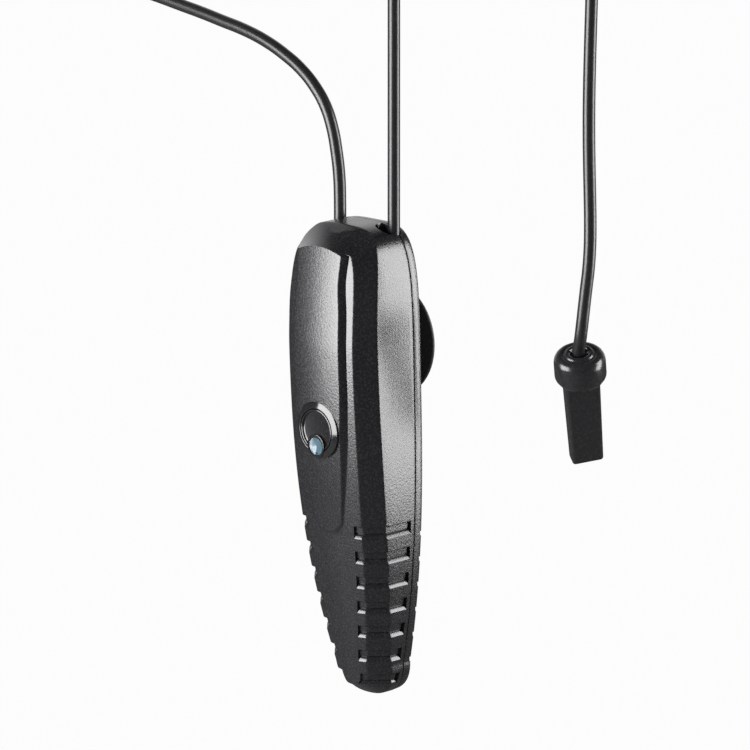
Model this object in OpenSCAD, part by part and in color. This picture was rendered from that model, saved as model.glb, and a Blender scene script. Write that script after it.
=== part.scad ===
// Aquarium thermostat controller. A drop-shaped housing hangs on the outside of a tank by a
// suction cup. A dial on its front sets the temperature, a supply lead and a sensor lead leave
// its top, and the sensor lead ends in a probe that hangs inside the tank.
// Millimetres. The origin is the centre of the suction cup's face on the glass.
// +Y points into the tank, -Y is the housing's front, +Z is up.

/* [Housing] */
// Greatest width of the housing
body_w = 35; // [34:0.5:38]
// Length of the housing
body_l = 135.8; // [134:0.1:142]
// Depth of the housing, from its back to the crest of its raised panel
body_d = 24.9; // [24.4:0.1:27]
// Height of the housing's top above the suction cup's axis
rise = 35.3; // [34.5:0.1:37]
// Width of the housing where the rounded tip begins
tip_w = 22; // [21:0.5:24]
// Width and depth of the bevel round the front
bevel = 4.9; // [4.5:0.1:5.3]
// How far the front falls back at the tip
tip_fall = 11.2; // [10.5:0.1:11.8]
// How far the bevel's rear edge falls back at the top
top_fall = 5.4; // [4:0.1:6.5]
// Crown of the front face
crown = 1; // [0.8:0.1:1.3]
// Wall of the front shell
wall = 1.9; // [1.7:0.1:2.1]
// Thickness of the rear cover's rim
cover_t = 3.25; // [3:0.05:3.6]
// Thickness of the rear cover's plate inside the rim
plate_t = 1.8; // [1.6:0.1:2]
// Angle by which the housing's top leans away from the glass
lean_a = 1.6; // [0:0.1:2]
// Gap between the glass and the back of the housing at the cup
stand_off = 6.5; // [6.3:0.05:8]

/* [Raised front panel] */
// Half width of the panel's foot at its widest
panel_hw = 10.6; // [9.8:0.1:10.8]
// Half width of the panel's foot at its rounded lower end
panel_end_hw = 6; // [5.5:0.1:7]
// Height of the panel's sloped edge
step_h = 1.6; // [1.3:0.1:1.8]
// Height of that edge at the lower end
step_end = 0.35; // [0.2:0.05:0.6]

/* [Grip grooves] */
// Number of grooves on each side
groove_n = 7; // [4:1:7]
// Height of one groove
groove_h = 2.1; // [1.6:0.1:2.6]
// Depth of one groove
groove_d = 0.8; // [0.5:0.1:0.9]
// Spacing of the grooves
groove_pitch = 7.45; // [6:0.05:7.5]
// Height of the first groove above the housing's tip
groove_up = 50.9; // [49.5:0.1:52.5]

/* [Dial] */
// Distance of the dial below the cup's axis
dial_drop = 21.4; // [20.8:0.1:23]
// Radius of the bezel
bezel_r = 8.1; // [7.8:0.1:8.2]
// Radius of the knob
knob_r = 6; // [5.8:0.05:6.1]
// Depth of the hollow in the knob's face
knob_dish = 0.6; // [0.3:0.1:0.8]
// Radius of the potentiometer's shaft
shaft_r = 3; // [2.8:0.1:3]
// Width of the pointer lens
pointer_w = 5; // [4.4:0.1:5.2]
// Length of the pointer lens
pointer_l = 4.2; // [3.6:0.1:4.4]

/* [Fasteners] */
// Radius of the cover screws' shanks
screw_r = 1.2; // [1:0.05:1.3]
// Radius of the cover screws' heads
screw_head_r = 2.4; // [2.2:0.1:2.5]
// Radius of the shell's screw bosses
boss_r = 2.7; // [2.5:0.1:2.9]

/* [Circuit board] */
// Width of the board
board_w = 23; // [21:0.5:24]
// Height of the board's top edge above the cup's axis
board_top = 16; // [15:0.5:17]
// Length of the board
board_l = 74; // [73:0.5:77]
// Thickness of the board
board_t = 1.6; // [1.4:0.1:1.6]

/* [Suction cup] */
// Radius of the cup
cup_r = 16; // [15:0.5:17]
// Radius of the cup's neck
neck_r = 3; // [2.8:0.1:3.1]
// Radius of the cup's head inside the cover
head_r = 4.5; // [4.2:0.1:4.6]
// Thickness of the cup's head
head_t = 2.2; // [2:0.1:2.4]

/* [Cords] */
// Diameter of both cords
cord_d = 3.5; // [3.2:0.1:3.5]
// Distance of each cord from the housing's side
cord_in = 6.8; // [6.6:0.1:7.2]
// Turns of the supply lead's coil, a whole number
supply_turns = 10; // [8:2:12]
// Outer radius of the supply lead's coil, on the cord's centre
supply_coil_r = 25.2; // [24:0.2:27]
// Spacing of a coil's turns beside and on each other
turn_pitch = 4; // [4:0.1:4.3]

/* [Plug] */
// Radius of the plug's barrel
barrel_r = 2.75; // [2.4:0.05:2.75]
// Length of the plug's barrel
barrel_l = 9.5; // [9:0.5:12]
// Radius of the plug's moulded body
plug_r = 5; // [4.8:0.1:5.5]
// Length of the plug's moulded body
plug_l = 18; // [16:0.5:20]
// Length of the plug's strain relief
relief_l = 16; // [14:0.5:18]

/* [Probe] */
// Radius of the probe's cap
cap_r = 7.25; // [7:0.05:7.8]
// Height of the probe's cap
cap_h = 10; // [9.5:0.5:11.5]
// Width of the probe's sleeve where it leaves the cap
sleeve_w = 10; // [9:0.1:10.2]
// Width of the probe's sleeve at its foot
sleeve_foot_w = 8.9; // [8:0.1:9.2]
// Thickness of the sleeve
sleeve_t = 5.2; // [4.8:0.1:5.6]
// Length of the sleeve below the cap
sleeve_l = 26; // [24:0.5:29]
// Angle by which the probe's top leans sideways, away from the housing
probe_lean = 14; // [12:0.5:15]
// Angle by which the probe's top leans towards the glass
probe_tilt = 19; // [16:0.5:20]

/* [Hidden] */
$fn = 48;
fit = 0.05;              // clearance of a close fit
slip = 0.3;              // clearance of a loose fit
eps = 0.01;              // overlap that keeps a cut clean
facing = 1.2;            // how far a cutter runs past the face that it cuts

body_col = [0.17, 0.17, 0.18];
gloss_col = [0.05, 0.05, 0.06];
rubber_col = [0.09, 0.09, 0.10];
cord_col = [0.10, 0.10, 0.11];
steel_col = [0.70, 0.71, 0.73];
board_col = [0.10, 0.32, 0.18];
lens_col = [0.45, 0.64, 0.75];

// ---------------------------------------------------------------- outline of the housing
// Depths are measured forwards from the glass at the cup, before the housing leans.
drop = body_l - rise;     // length of the housing below the suction cup's axis
side_d = body_d - cover_t - bevel - crown - step_h;  // depth of the shell's straight side
seam_y = -(stand_off + cover_t);
edge_y = seam_y - side_d;
z_deep = 2;              // height at which the straight side is deepest
z_wide = -12;            // height at which the housing is widest
z_arch = -5;             // centre of the top arch
z_tip = -(drop - 10);    // height at which the rounded tip begins
arch_n = 4.2;            // squareness of the top arch
tip_n = 2.4;             // squareness of the tip
front_n = 5.5;           // squareness of the front face's top corners
shelf_fall = 0.6;        // share of top_fall by which the front face falls back at the top
panel_n = 6;             // squareness of the panel's top corners
front_in = 3.2;          // how far the bevel reaches in at the very top
tip_in = 3.6;            // how far the bevel reaches in at the very tip
panel_top_in = 0.5;      // how far the panel's foot lies inside the front face at the top
panel_end_z = -51.5;     // lower end of the panel
panel_round = 5.5;       // height of the panel's rounded end
panel_full_z = -22;      // height above which the panel's edge has its full height
waist_z = 21;            // height of the panel's slight waist
waist_h = 6;
waist = 0.085;           // share of its width that the panel draws in there
line_hw = 2.2;           // half width of the mesh's inner columns below the panel

function sq(v) = v * v;
function unit_v(v) = v / norm(v);
function clamp01(v) = min(1, max(0, v));
function side_hw(z) = body_w / 2 - (z < z_wide
    ? (body_w - tip_w) / 2 * pow((z_wide - z) / (z_wide - z_tip), 2.6) : 0);
function bevel_y(z) = edge_y + (z > z_deep
    ? top_fall * pow((z - z_deep) / (rise - z_deep), 2.6)
    : tip_fall * pow((z_deep - z) / (drop + z_deep), 1.9));
function shelf_y(z) = z > z_deep
    ? edge_y - bevel + top_fall * shelf_fall * pow((z - z_deep) / (rise - z_deep), 1.5)
    : bevel_y(z) - bevel;
function foot_hw(z) = z < panel_end_z + panel_round
    ? max(line_hw, panel_end_hw * sqrt(1 - sq(clamp01((panel_end_z + panel_round - z) / panel_round))))
    : panel_hw - (panel_hw - panel_end_hw)
        * pow(clamp01((-z - 8) / (-panel_end_z - panel_round - 8)), 1.8);
function step(z) = z < panel_end_z ? 0 : step_end
    + (step_h - step_end) * clamp01((z - panel_end_z) / (panel_full_z - panel_end_z));
function crown_y(x, z) = shelf_y(z)
    - crown * (1 - sq(min(1, x / (min(side_hw(z), body_w / 2) - bevel))));

// Radius at angle a of a rounded oval with half axes p and q and squareness n
function oval_r(p, q, n, a) =
    pow(pow(abs(cos(a)) / p, n) + pow(abs(sin(a)) / q, n), -1 / n);

// Rows run from the tip to the top. A row is [kind, value]: kind -1 is an angle round the tip,
// 0 is a height on the sides, and 1 is an angle round the top arch.
below_panel = panel_end_z - 3.5;
above_end = panel_end_z + 10.5;
side_z = concat(
    [for (f = [0.93, 0.79, 0.65, 0.48, 0.31, 0.14]) below_panel + f * (z_tip - below_panel)],
    [for (d = [-3.5, -0.7, 0.5, 2, 4, 6.5, 10.5]) panel_end_z + d],
    [for (f = [0.88, 0.73, 0.585, 0.44, 0.29, 0.145, 0]) f * above_end]);
rows = concat(
    [for (a = [90:-18:18]) [-1, a]],
    [for (z = side_z) [0, z]],
    [for (a = [40, 52, 60, 65, 69, 73, 77, 82, 90]) [1, a]]);
last_row = len(rows) - 1;

// A ring is [side function's inset, tip oval, arch oval]: see ring_xz
function ring_xz(row, hw, tip, arch) =
    row[0] == 0 ? [hw, row[1]]
    : row[0] > 0
        ? let (r = oval_r(arch[0], arch[1], arch[2], row[1]))
            [r * cos(row[1]), z_arch + r * sin(row[1])]
        : let (r = oval_r(tip[0], tip[1], tip[2], row[1]))
            [r * cos(row[1]), z_tip - r * sin(row[1])];

arch_h = rise - z_arch;
tip_h = drop + z_tip;
function outline(row, i) = ring_xz(row, side_hw(row[1]) - i,
    [tip_w / 2 - i, tip_h - i, tip_n], [body_w / 2 - i, arch_h - i, arch_n]);
function front_edge(row, i) = ring_xz(row, side_hw(row[1]) - bevel - i,
    [tip_w / 2 - bevel - i, tip_h - tip_in - i, tip_n],
    [body_w / 2 - bevel - i, arch_h - front_in - i, front_n]);
function waisted(p) = [p[0] * (1 - waist * exp(-sq((p[1] - waist_z) / waist_h))), p[1]];
function panel_ring(row, i, top_i) = waisted(ring_xz(row, foot_hw(row[1]) - i,
    [line_hw - i, (tip_h - tip_in) / 2 - i, tip_n],
    [panel_hw - i, arch_h - front_in - panel_top_in - top_i, panel_n]));
function foot(row, i) = panel_ring(row, i, i);
function head_in(row) = row[0] > 0 ? step_h : row[0] < 0 ? 0.6 : max(step(row[1]), 0.6);
function head(row, i) = panel_ring(row, i + head_in(row), i + step_h * 0.6);

// Points of each ring, in the housing's own frame
function at(p, y) = [p[0], y, p[1]];
function face_y(p, t) = crown_y(p[0], p[1]) - step(p[1]) + t;
function seam_ring(row, i) = at(outline(row, i), seam_y);
function edge_ring(row, t) = let (p = outline(row, t), o = outline(row, 0))
    at(p, bevel_y(o[1]) + t * (sqrt(2) - 1));
function front_ring(row, t) = let (p = front_edge(row, t * (sqrt(2) - 1)))
    at(p, shelf_y(p[1]) + t);
function foot_ring(row) = let (p = foot(row, 0)) at(p, crown_y(p[0], p[1]));
function head_ring(row, t) = let (p = head(row, t * 0.4)) at(p, face_y(p, t));
function mirror_x(p) = [-p[0], p[1], p[2]];
// A closed ring: up the right side from the tip to the top, and down the left side
function closed(half) = concat(half, [for (i = [last_row - 1:-1:1]) mirror_x(half[i])]);
ring_n = 2 * last_row;

// Triangles between ring a and ring b, which starts at index b
function band(a, b) = [for (i = [0:ring_n - 1]) let (j = (i + 1) % ring_n)
    each [[a + i, b + i, b + j], [a + i, b + j, a + j]]];
// Inner columns that close the ring of head points: col_n - 1 points on each row
col_n = 4;
function columns(t) = [for (i = [1:last_row - 1]) let (p = head(rows[i], t * 0.4))
    for (c = [1:col_n - 1]) let (q = [p[0] * (1 - 2 * c / col_n), p[1]]) at(q, face_y(q, t))];
// Index on row i, column c: the ring's right point, the inner points, the ring's left point
function cell(ring, base, i, c) = c == 0 ? ring + i
    : c == col_n ? ring + ring_n - i
    : base + (i - 1) * (col_n - 1) + c - 1;
function closing(ring, base) = concat(
    [for (i = [1:last_row - 2]) for (c = [0:col_n - 1]) each [
        [cell(ring, base, i, c), cell(ring, base, i, c + 1), cell(ring, base, i + 1, c + 1)],
        [cell(ring, base, i, c), cell(ring, base, i + 1, c + 1), cell(ring, base, i + 1, c)]]],
    [for (c = [0:col_n - 1]) [ring, cell(ring, base, 1, c + 1), cell(ring, base, 1, c)]],
    [for (c = [0:col_n - 1]) [ring + last_row, cell(ring, base, last_row - 1, c),
        cell(ring, base, last_row - 1, c + 1)]]);
function flip(faces) = [for (f = faces) [f[0], f[2], f[1]]];

// Closes a ring of a flat outline, which starts at index a, straight across
function flat_face(a) = let (n = ring_n) concat([[a, a + 1, a + n - 1]],
    [for (i = [1:last_row - 2]) each [[a + i, a + i + 1, a + n - i],
        [a + i + 1, a + n - i - 1, a + n - i]]],
    [[a + last_row - 1, a + last_row, a + n - last_row + 1]]);

module shell_body() {
    outer = concat(
        closed([for (r = rows) seam_ring(r, 0)]), closed([for (r = rows) edge_ring(r, 0)]),
        closed([for (r = rows) front_ring(r, 0)]), closed([for (r = rows) foot_ring(r)]),
        closed([for (r = rows) head_ring(r, 0)]), columns(0));
    inner = concat(
        closed([for (r = rows) seam_ring(r, wall)]), closed([for (r = rows) edge_ring(r, wall)]),
        closed([for (r = rows) front_ring(r, wall)]), closed([for (r = rows) head_ring(r, wall)]),
        columns(wall));
    n = ring_n;
    k = len(outer);
    polyhedron(concat(outer, inner), concat(
        band(0, n), band(n, 2 * n), band(2 * n, 3 * n), band(3 * n, 4 * n), closing(4 * n, 5 * n),
        flip(concat(band(k, k + n), band(k + n, k + 2 * n), band(k + 2 * n, k + 3 * n),
            closing(k + 3 * n, k + 4 * n))),
        flip(band(0, k))));
}

// The housing leans about the point where the suction cup holds it
module lean() {
    translate([0, -stand_off, 0]) rotate([lean_a, 0, 0]) translate([0, stand_off, 0]) children();
}
// A cylinder along Y between two depths
module rod(x, z, y0, y1, r) {
    translate([x, max(y0, y1), z]) rotate([90, 0, 0]) cylinder(h = abs(y1 - y0), r = r);
}
// A box between two corners
module block(a, b) {
    translate([min(a[0], b[0]), min(a[1], b[1]), min(a[2], b[2])])
        cube([abs(b[0] - a[0]), abs(b[1] - a[1]), abs(b[2] - a[2])]);
}
// The outline, inset by i, as a plate between two depths
module outline_plate(i, y0, y1) {
    points = [for (p = closed([for (r = rows) seam_ring(r, i)])) [p[0], p[2]]];
    translate([0, max(y0, y1), 0]) rotate([90, 0, 0])
        linear_extrude(abs(y1 - y0)) polygon(points);
}

// ---------------------------------------------------------------- screws and posts
lip_t = 1.1;             // thickness of the cover's lip inside the shell
lip_h = 1.5;
side_screw_z = -34;
side_screw_x = side_hw(side_screw_z) - wall - lip_t - 2 * slip - boss_r;
screw_places = [[0, rise - 8.5], [side_screw_x, side_screw_z], [-side_screw_x, side_screw_z],
    [0, -(drop - 14)]];
boss_gap = 0.1;
// Depth of the shell's skin, a little way into its wall
function skin_y(x, z) = crown_y(x, z) - step(z) + wall * 0.6;
boss_front = [for (p = screw_places) p[0] == 0 ? skin_y(0, p[1]) : shelf_y(p[1]) + wall];
screw_l = 9.5;
screw_head_t = 1.4;
head_seat = 1.55;         // depth of the screw head's seat in the cover
post_places = [[6, 8], [-6, 8], [0, -52]];
post_r = 2.2;
board_front = seam_y - 8.35;
board_back = board_front + board_t;
board_screw_r = 0.9;
board_screw_l = 6;

// ---------------------------------------------------------------- dial
dial_z = -dial_drop;
panel_y = crown_y(0, dial_z) - step(dial_z);
bezel_seat_y = panel_y + 1;
bezel_bore_r = bezel_r - 0.9;
bezel_skirt_r = bezel_bore_r - fit;
bezel_in_r = knob_r + 0.2;
bezel_floor_y = bezel_seat_y + 1.6;
bezel_floor_t = 1;
stem_r = shaft_r + 0.9;
knob_front_y = panel_y - 0.6;
knob_back_y = bezel_floor_y - 0.5;
knob_t = knob_back_y - knob_front_y;
pot_front_y = board_front - 5.5;
pot_w = 10;
shaft_tip_y = knob_front_y + 2;
stem_y = pot_front_y - slip;

// ---------------------------------------------------------------- cord exits
cord_r = cord_d / 2;
cord_x = body_w / 2 - cord_in;
cord_y = seam_y - 0.2;
cord_hole_r = cord_r + 0.25;
exit_z = rise - 4.5;
cord_end_z = 19;
scoop_r = 3.1;
scoop_deep = 2.4;         // how far the scoops reach down from the housing's top
exit_at = [0, -stand_off + (cord_y + stand_off) * cos(lean_a) - exit_z * sin(lean_a),
    exit_z * cos(lean_a) + (cord_y + stand_off) * sin(lean_a)];

function groove_z(k) = groove_up - drop - k * groove_pitch;
module grooves() {
    for (k = [0:groove_n - 1]) {
        z = groove_z(k);
        w = z > z_tip ? side_hw(z) : outline([-1, asin(min(1, (z_tip - z) / tip_h * 0.93))], 0)[0];
        y = bevel_y(z);
        reach = min(5.2, w - bevel - 1.5);
        d = groove_d;
        side_end = seam_y - 1.4;
        f = bevel;
        // section of the cut: along the side, over the bevel and on to the front
        cut = [[w + facing, side_end], [w - d, side_end], [w - d, y + d * 0.41],
            [w - f - d * 0.41, y - f + d], [w - f - reach * 0.5, y - f + d - 0.25],
            [w - f - reach * 0.5, y - f - facing * 2], [w + facing, y - f - facing * 2]];
        for (s = [-1, 1]) scale([s, 1, 1])
            translate([0, 0, z - groove_h / 2]) linear_extrude(groove_h) polygon(cut);
    }
}

module front_shell() {
    color(body_col) lean() difference() {
        union() {
            shell_body();
            for (i = [0:len(screw_places) - 1])
                rod(screw_places[i][0], screw_places[i][1], seam_y - boss_gap, boss_front[i], boss_r);
            for (p = post_places)
                rod(p[0], p[1], board_front, skin_y(p[0], p[1]), post_r);
            rod(0, dial_z, bezel_floor_y, bezel_seat_y - 0.2, bezel_r + 0.3);
        }
        rod(0, dial_z, bezel_floor_y + facing, panel_y - facing, bezel_bore_r);
        rod(0, dial_z, bezel_seat_y, panel_y - facing, bezel_r + fit);
        for (p = screw_places) rod(p[0], p[1], seam_y + facing, seam_y - 8, screw_r + 0.03);
        for (p = post_places) rod(p[0], p[1], board_front + facing, board_front - 4.5,
            board_screw_r + 0.03);
        for (s = [-1, 1]) {
            translate([s * cord_x, cord_y, cord_end_z - facing])
                cylinder(h = rise, r = cord_hole_r);
            intersection() {
                translate([s * (cord_x - 0.8), cord_y - 1.2, rise - scoop_deep])
                    cylinder(h = rise, r = scoop_r);
                block([-body_w, seam_y - 0.4, 0], [body_w, seam_y - 12, rise * 2]);
            }
        }
        grooves();
    }
}

// ---------------------------------------------------------------- rear cover
gasket_in = 0.45;
gasket_w = 1;
gasket_t = 0.7;
socket_r = head_r + 3.8;
socket_wall = 1.3;
socket_back_t = 1.6;
chamber_r = head_r + 0.5;
chamber_t = head_t + 0.75;
chamber_y = -(stand_off + socket_back_t);
keyhole_drop = 8.5;
cover_edge = 0.3;
notch_drop = 3.2;         // how far the notches in the cover lie below the grooves

module cover_body() {
    n = ring_n;
    back = closed([for (r = rows) at(outline(r, cover_edge), -stand_off)]);
    rim = closed([for (r = rows) at(outline(r, 0), -stand_off - cover_edge)]);
    front = closed([for (r = rows) seam_ring(r, 0)]);
    polyhedron(concat(back, rim, front),
        concat(band(0, n), band(n, 2 * n), flat_face(0), flip(flat_face(2 * n))));
}

module gasket_ring(w, y0, y1, c) {
    difference() {
        outline_plate(gasket_in - c, y0, y1);
        outline_plate(gasket_in + w + c, y0 + facing, y1 - facing);
    }
}

module rear_cover() {
    slot_y = chamber_y - chamber_t;
    color(body_col) lean() difference() {
        union() {
            difference() {
                cover_body();
                outline_plate(wall + lip_t + slip, seam_y + (cover_t - plate_t), seam_y - facing);
            }
            difference() {
                outline_plate(wall + slip, seam_y + eps, seam_y - lip_h);
                outline_plate(wall + lip_t + slip, seam_y + facing, seam_y - lip_h - facing);
                for (p = screw_places) rod(p[0], p[1], seam_y + facing, seam_y - lip_h - facing,
                    boss_r + slip);
                for (s = [-1, 1]) translate([s * (cord_x - 0.8), cord_y - 1.2, exit_z - 3])
                    cylinder(h = rise, r = scoop_r + slip);
            }
            for (p = screw_places) rod(p[0], p[1], -(stand_off + eps + 0.5), seam_y, boss_r + 0.6);
            rod(0, 0, -(stand_off + 0.5), slot_y - socket_wall, socket_r);
            rod(0, -keyhole_drop, -(stand_off + 0.5), slot_y - socket_wall, socket_r);
        }
        gasket_ring(gasket_w, seam_y + gasket_t, seam_y - facing, fit);
        for (p = screw_places) {
            rod(p[0], p[1], 0, seam_y - facing, screw_r + slip);
            rod(p[0], p[1], 0, -(stand_off + head_seat), screw_head_r + slip);
        }
        // keyhole: the cup's head enters below, and slides up until its neck is held
        rod(0, 0, 0, chamber_y - facing, neck_r + slip);
        block([-neck_r - slip, 0, 0], [neck_r + slip, chamber_y - facing, -keyhole_drop]);
        rod(0, -keyhole_drop, 0, chamber_y - facing, head_r + slip);
        rod(0, 0, chamber_y, slot_y, chamber_r);
        rod(0, -keyhole_drop, chamber_y, slot_y, chamber_r);
        block([-chamber_r, chamber_y, 0], [chamber_r, slot_y, -keyhole_drop]);
        for (s = [-1, 1]) translate([s * cord_x, cord_y, cord_end_z - facing])
            cylinder(h = rise, r = cord_hole_r);
        // notches along the back edge, in line with the grip grooves
        for (k = [0:groove_n - 2]) {
            z = groove_z(k) - notch_drop;
            for (s = [-1, 1]) translate([s * (side_hw(z) + 0.5), -stand_off, z])
                rotate([0, 0, 45]) cube([2, 2, 1.4], center = true);
        }
    }
}

module seam_gasket() {
    color(rubber_col) lean() difference() {
        gasket_ring(gasket_w, seam_y + gasket_t - fit, seam_y, 0);
        for (s = [-1, 1]) translate([s * cord_x, cord_y, cord_end_z])
            cylinder(h = rise, r = cord_hole_r + fit);
    }
}

module pan_screw(x, z, head_y, shank_r, shank_l, head_r0, head_t0) {
    difference() {
        union() {
            rod(x, z, head_y, head_y - head_t0, head_r0);
            rod(x, z, head_y - head_t0, head_y - head_t0 - shank_l, shank_r);
        }
        for (a = [0, 90]) translate([x, head_y, z]) rotate([0, a, 0])
            cube([head_r0 * 1.2, head_t0, 0.5], center = true);
    }
}

module cover_screws() {
    color(steel_col) lean() for (p = screw_places)
        pan_screw(p[0], p[1], -(stand_off + head_seat - screw_head_t), screw_r, screw_l - head_seat,
            screw_head_r, screw_head_t);
}

// ---------------------------------------------------------------- dial
module dial_turned(points) {
    translate([0, 0, dial_z]) rotate([90, 0, 0]) rotate_extrude() polygon(points);
}

module dial_bezel() {
    front = -panel_y;
    seat = -bezel_seat_y;
    floor0 = -bezel_floor_y;
    hole = stem_r + slip;
    color(gloss_col) lean() dial_turned([
        [hole, floor0 - bezel_floor_t], [bezel_skirt_r, floor0 - bezel_floor_t],
        [bezel_skirt_r, seat + fit], [bezel_r, seat + fit], [bezel_r, front - 0.1],
        [bezel_r - 0.15, front + 0.15], [bezel_r - 0.6, front + 0.42], [bezel_r - 1.1, front + 0.55],
        [bezel_in_r + 0.25, front + 0.55], [bezel_in_r, front + 0.3],
        [bezel_in_r, floor0], [hole, floor0]]);
}

pointer_at = knob_r - pointer_l / 2 - 0.15;
lens_t = 1.4;
module pointer_shape(c) {
    translate([0, 0, dial_z - pointer_at]) rotate([90, 0, 0]) linear_extrude(body_w * 2)
        polygon([for (a = [0:12:348]) let (r = oval_r(pointer_w / 2 + c, pointer_l / 2 + c, 2.3, a))
            [r * cos(a), r * sin(a)]]);
}

module dial_knob() {
    back = -knob_back_y;
    front = -knob_front_y;
    color(gloss_col) lean() difference() {
        dial_turned([
            [0, -stem_y], [stem_r, -stem_y], [stem_r, back], [knob_r - 0.2, back],
            [knob_r, back + 0.2], [knob_r, front - 0.15], [knob_r - 0.15, front],
            [knob_r - 0.4, front], [knob_r - 0.55, front - 0.2], [knob_r * 0.6, front - knob_dish * 0.8],
            [0, front - knob_dish]]);
        rod(0, dial_z, stem_y + facing, shaft_tip_y - fit, shaft_r + fit);
        intersection() {
            pointer_shape(fit);
            rod(0, dial_z, knob_front_y + lens_t + fit, knob_front_y - facing, knob_r * 2);
        }
    }
}

module knob_pointer() {
    color(lens_col) lean() intersection() {
        pointer_shape(0);
        rod(0, dial_z, knob_front_y + lens_t, knob_front_y - 0.1, knob_r * 2);
    }
}

module pot_body() {
    color([0.25, 0.42, 0.62]) lean() difference() {
        union() {
            block([-pot_w / 2, board_front, dial_z - pot_w / 2 - 0.5],
                [pot_w / 2, pot_front_y, dial_z + pot_w / 2]);
            for (s = [-1, 0, 1]) rod(s * 2.5, dial_z - 4.2, board_back + 1.2, board_front - eps, 0.45);
        }
        rod(0, dial_z, pot_front_y + 1, pot_front_y - facing, shaft_r + fit);
        rod(0, dial_z, pot_front_y + 1, pot_front_y + 3.4, pot_w / 2 - 0.7);
    }
}

module pot_shaft() {
    color(steel_col) lean() difference() {
        union() {
            rod(0, dial_z, pot_front_y + 1.5, shaft_tip_y, shaft_r);
            rod(0, dial_z, pot_front_y + 1.3, pot_front_y + 3, pot_w / 2 - 1);
        }
        block([-0.5, shaft_tip_y + 2.5, dial_z - shaft_r * 2],
            [0.5, shaft_tip_y - facing, dial_z + shaft_r * 2]);
    }
}

// ---------------------------------------------------------------- board and its parts
board_foot = board_top - board_l;
module circuit_board() {
    taper = 5;
    color(board_col) lean() difference() {
        translate([0, board_back, 0]) rotate([90, 0, 0]) linear_extrude(board_t) polygon([
            [-board_w / 2 + taper, board_foot], [board_w / 2 - taper, board_foot],
            [board_w / 2, board_foot + 2 * taper], [board_w / 2, board_top - 2],
            [board_w / 2 - 2, board_top], [-board_w / 2 + 2, board_top],
            [-board_w / 2, board_top - 2], [-board_w / 2, board_foot + 2 * taper]]);
        for (p = screw_places)
            rod(p[0], p[1], board_back + facing, board_front - facing, boss_r + 0.4);
        for (p = post_places)
            rod(p[0], p[1], board_back + facing, board_front - facing, board_screw_r + 0.15);
        for (s = [-1, 0, 1])
            rod(s * 2.5, dial_z - 4.2, board_back + facing, board_front - facing, 0.5);
    }
}

module board_screws() {
    color(steel_col) lean() for (p = post_places)
        pan_screw(p[0], p[1], board_back + 1.3, board_screw_r, board_screw_l - board_t, 1.9, 1.3);
}

chip_z = dial_z - 15;
module control_chip() {
    color([0.12, 0.12, 0.13]) lean() union() {
        block([-4.8, board_front - 0.5, chip_z - 3.2], [4.8, board_front - 3.8, chip_z + 3.2]);
        for (s = [-1, 1]) for (k = [-1.5:1:1.5])
            block([k * 2.54 - 0.25, board_front, chip_z + s * 3.2],
                [k * 2.54 + 0.25, board_front - 2, chip_z + s * 3.8]);
    }
}

transistor_z = 2;
module output_transistor() {
    color([0.14, 0.14, 0.15]) lean() difference() {
        union() {
            block([-5, board_front, transistor_z - 9], [5, board_front - 4.4, transistor_z]);
            block([-5, board_front, transistor_z], [5, board_front - 1.3, transistor_z + 6]);
            for (k = [-1, 0, 1]) block([k * 2.54 - 0.35, board_front - 1.5, transistor_z - 9],
                [k * 2.54 + 0.35, board_front - 2, transistor_z - 12.2]);
        }
        rod(0, transistor_z + 3.2, board_front + facing, board_front - 2, 1.8);
        for (s = [-1, 1])
            rod(s * 6, 8, board_front + facing, board_front - 9, post_r + 0.4);
    }
}

module capacitors() {
    color([0.15, 0.18, 0.30]) lean() for (s = [-1, 1]) {
        rod(s * 8, dial_z - 24, board_front, board_front - 5, 2.5);
    }
}

module resistors() {
    color([0.72, 0.62, 0.45]) lean() for (s = [-1, 1]) for (k = [0:2]) {
        z = -38 - k * 4;
        x = s * 5.4;
        y = board_back + 1.6;
        union() {
            translate([x - 2.1, y, z]) rotate([0, 90, 0]) cylinder(h = 4.2, r = 1, $fn = 24);
            for (e = [-1, 1]) {
                translate([x + e * 2.9 - 0.9, y, z]) rotate([0, 90, 0])
                    cylinder(h = 1.8, r = 0.25, $fn = 16);
                rod(x + e * 3.55, z, board_back, y + 0.25, 0.25);
            }
        }
    }
}

module status_led() {
    color([0.70, 0.80, 0.90]) lean() union() {
        rod(0, dial_z - 9, board_front, board_front - 1, 1.9);
        rod(0, dial_z - 9, board_front - 1, board_front - 3.6, 1.5);
        translate([0, board_front - 3.6, dial_z - 9]) sphere(r = 1.5);
    }
}

header_x = 8.2;
header_z = 12.5;
header_h = 4.6;
module header(s) {
    color([0.90, 0.89, 0.84]) lean() difference() {
        block([s * header_x - 2.6, board_back, header_z - 2.2],
            [s * header_x + 2.6, board_back + header_h, header_z + 2.2]);
        for (e = [-1, 1]) translate([s * header_x + e * 1.25, board_back + 2.6, header_z - 1])
            cylinder(h = 10, r = 0.65, $fn = 24);
    }
}

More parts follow.
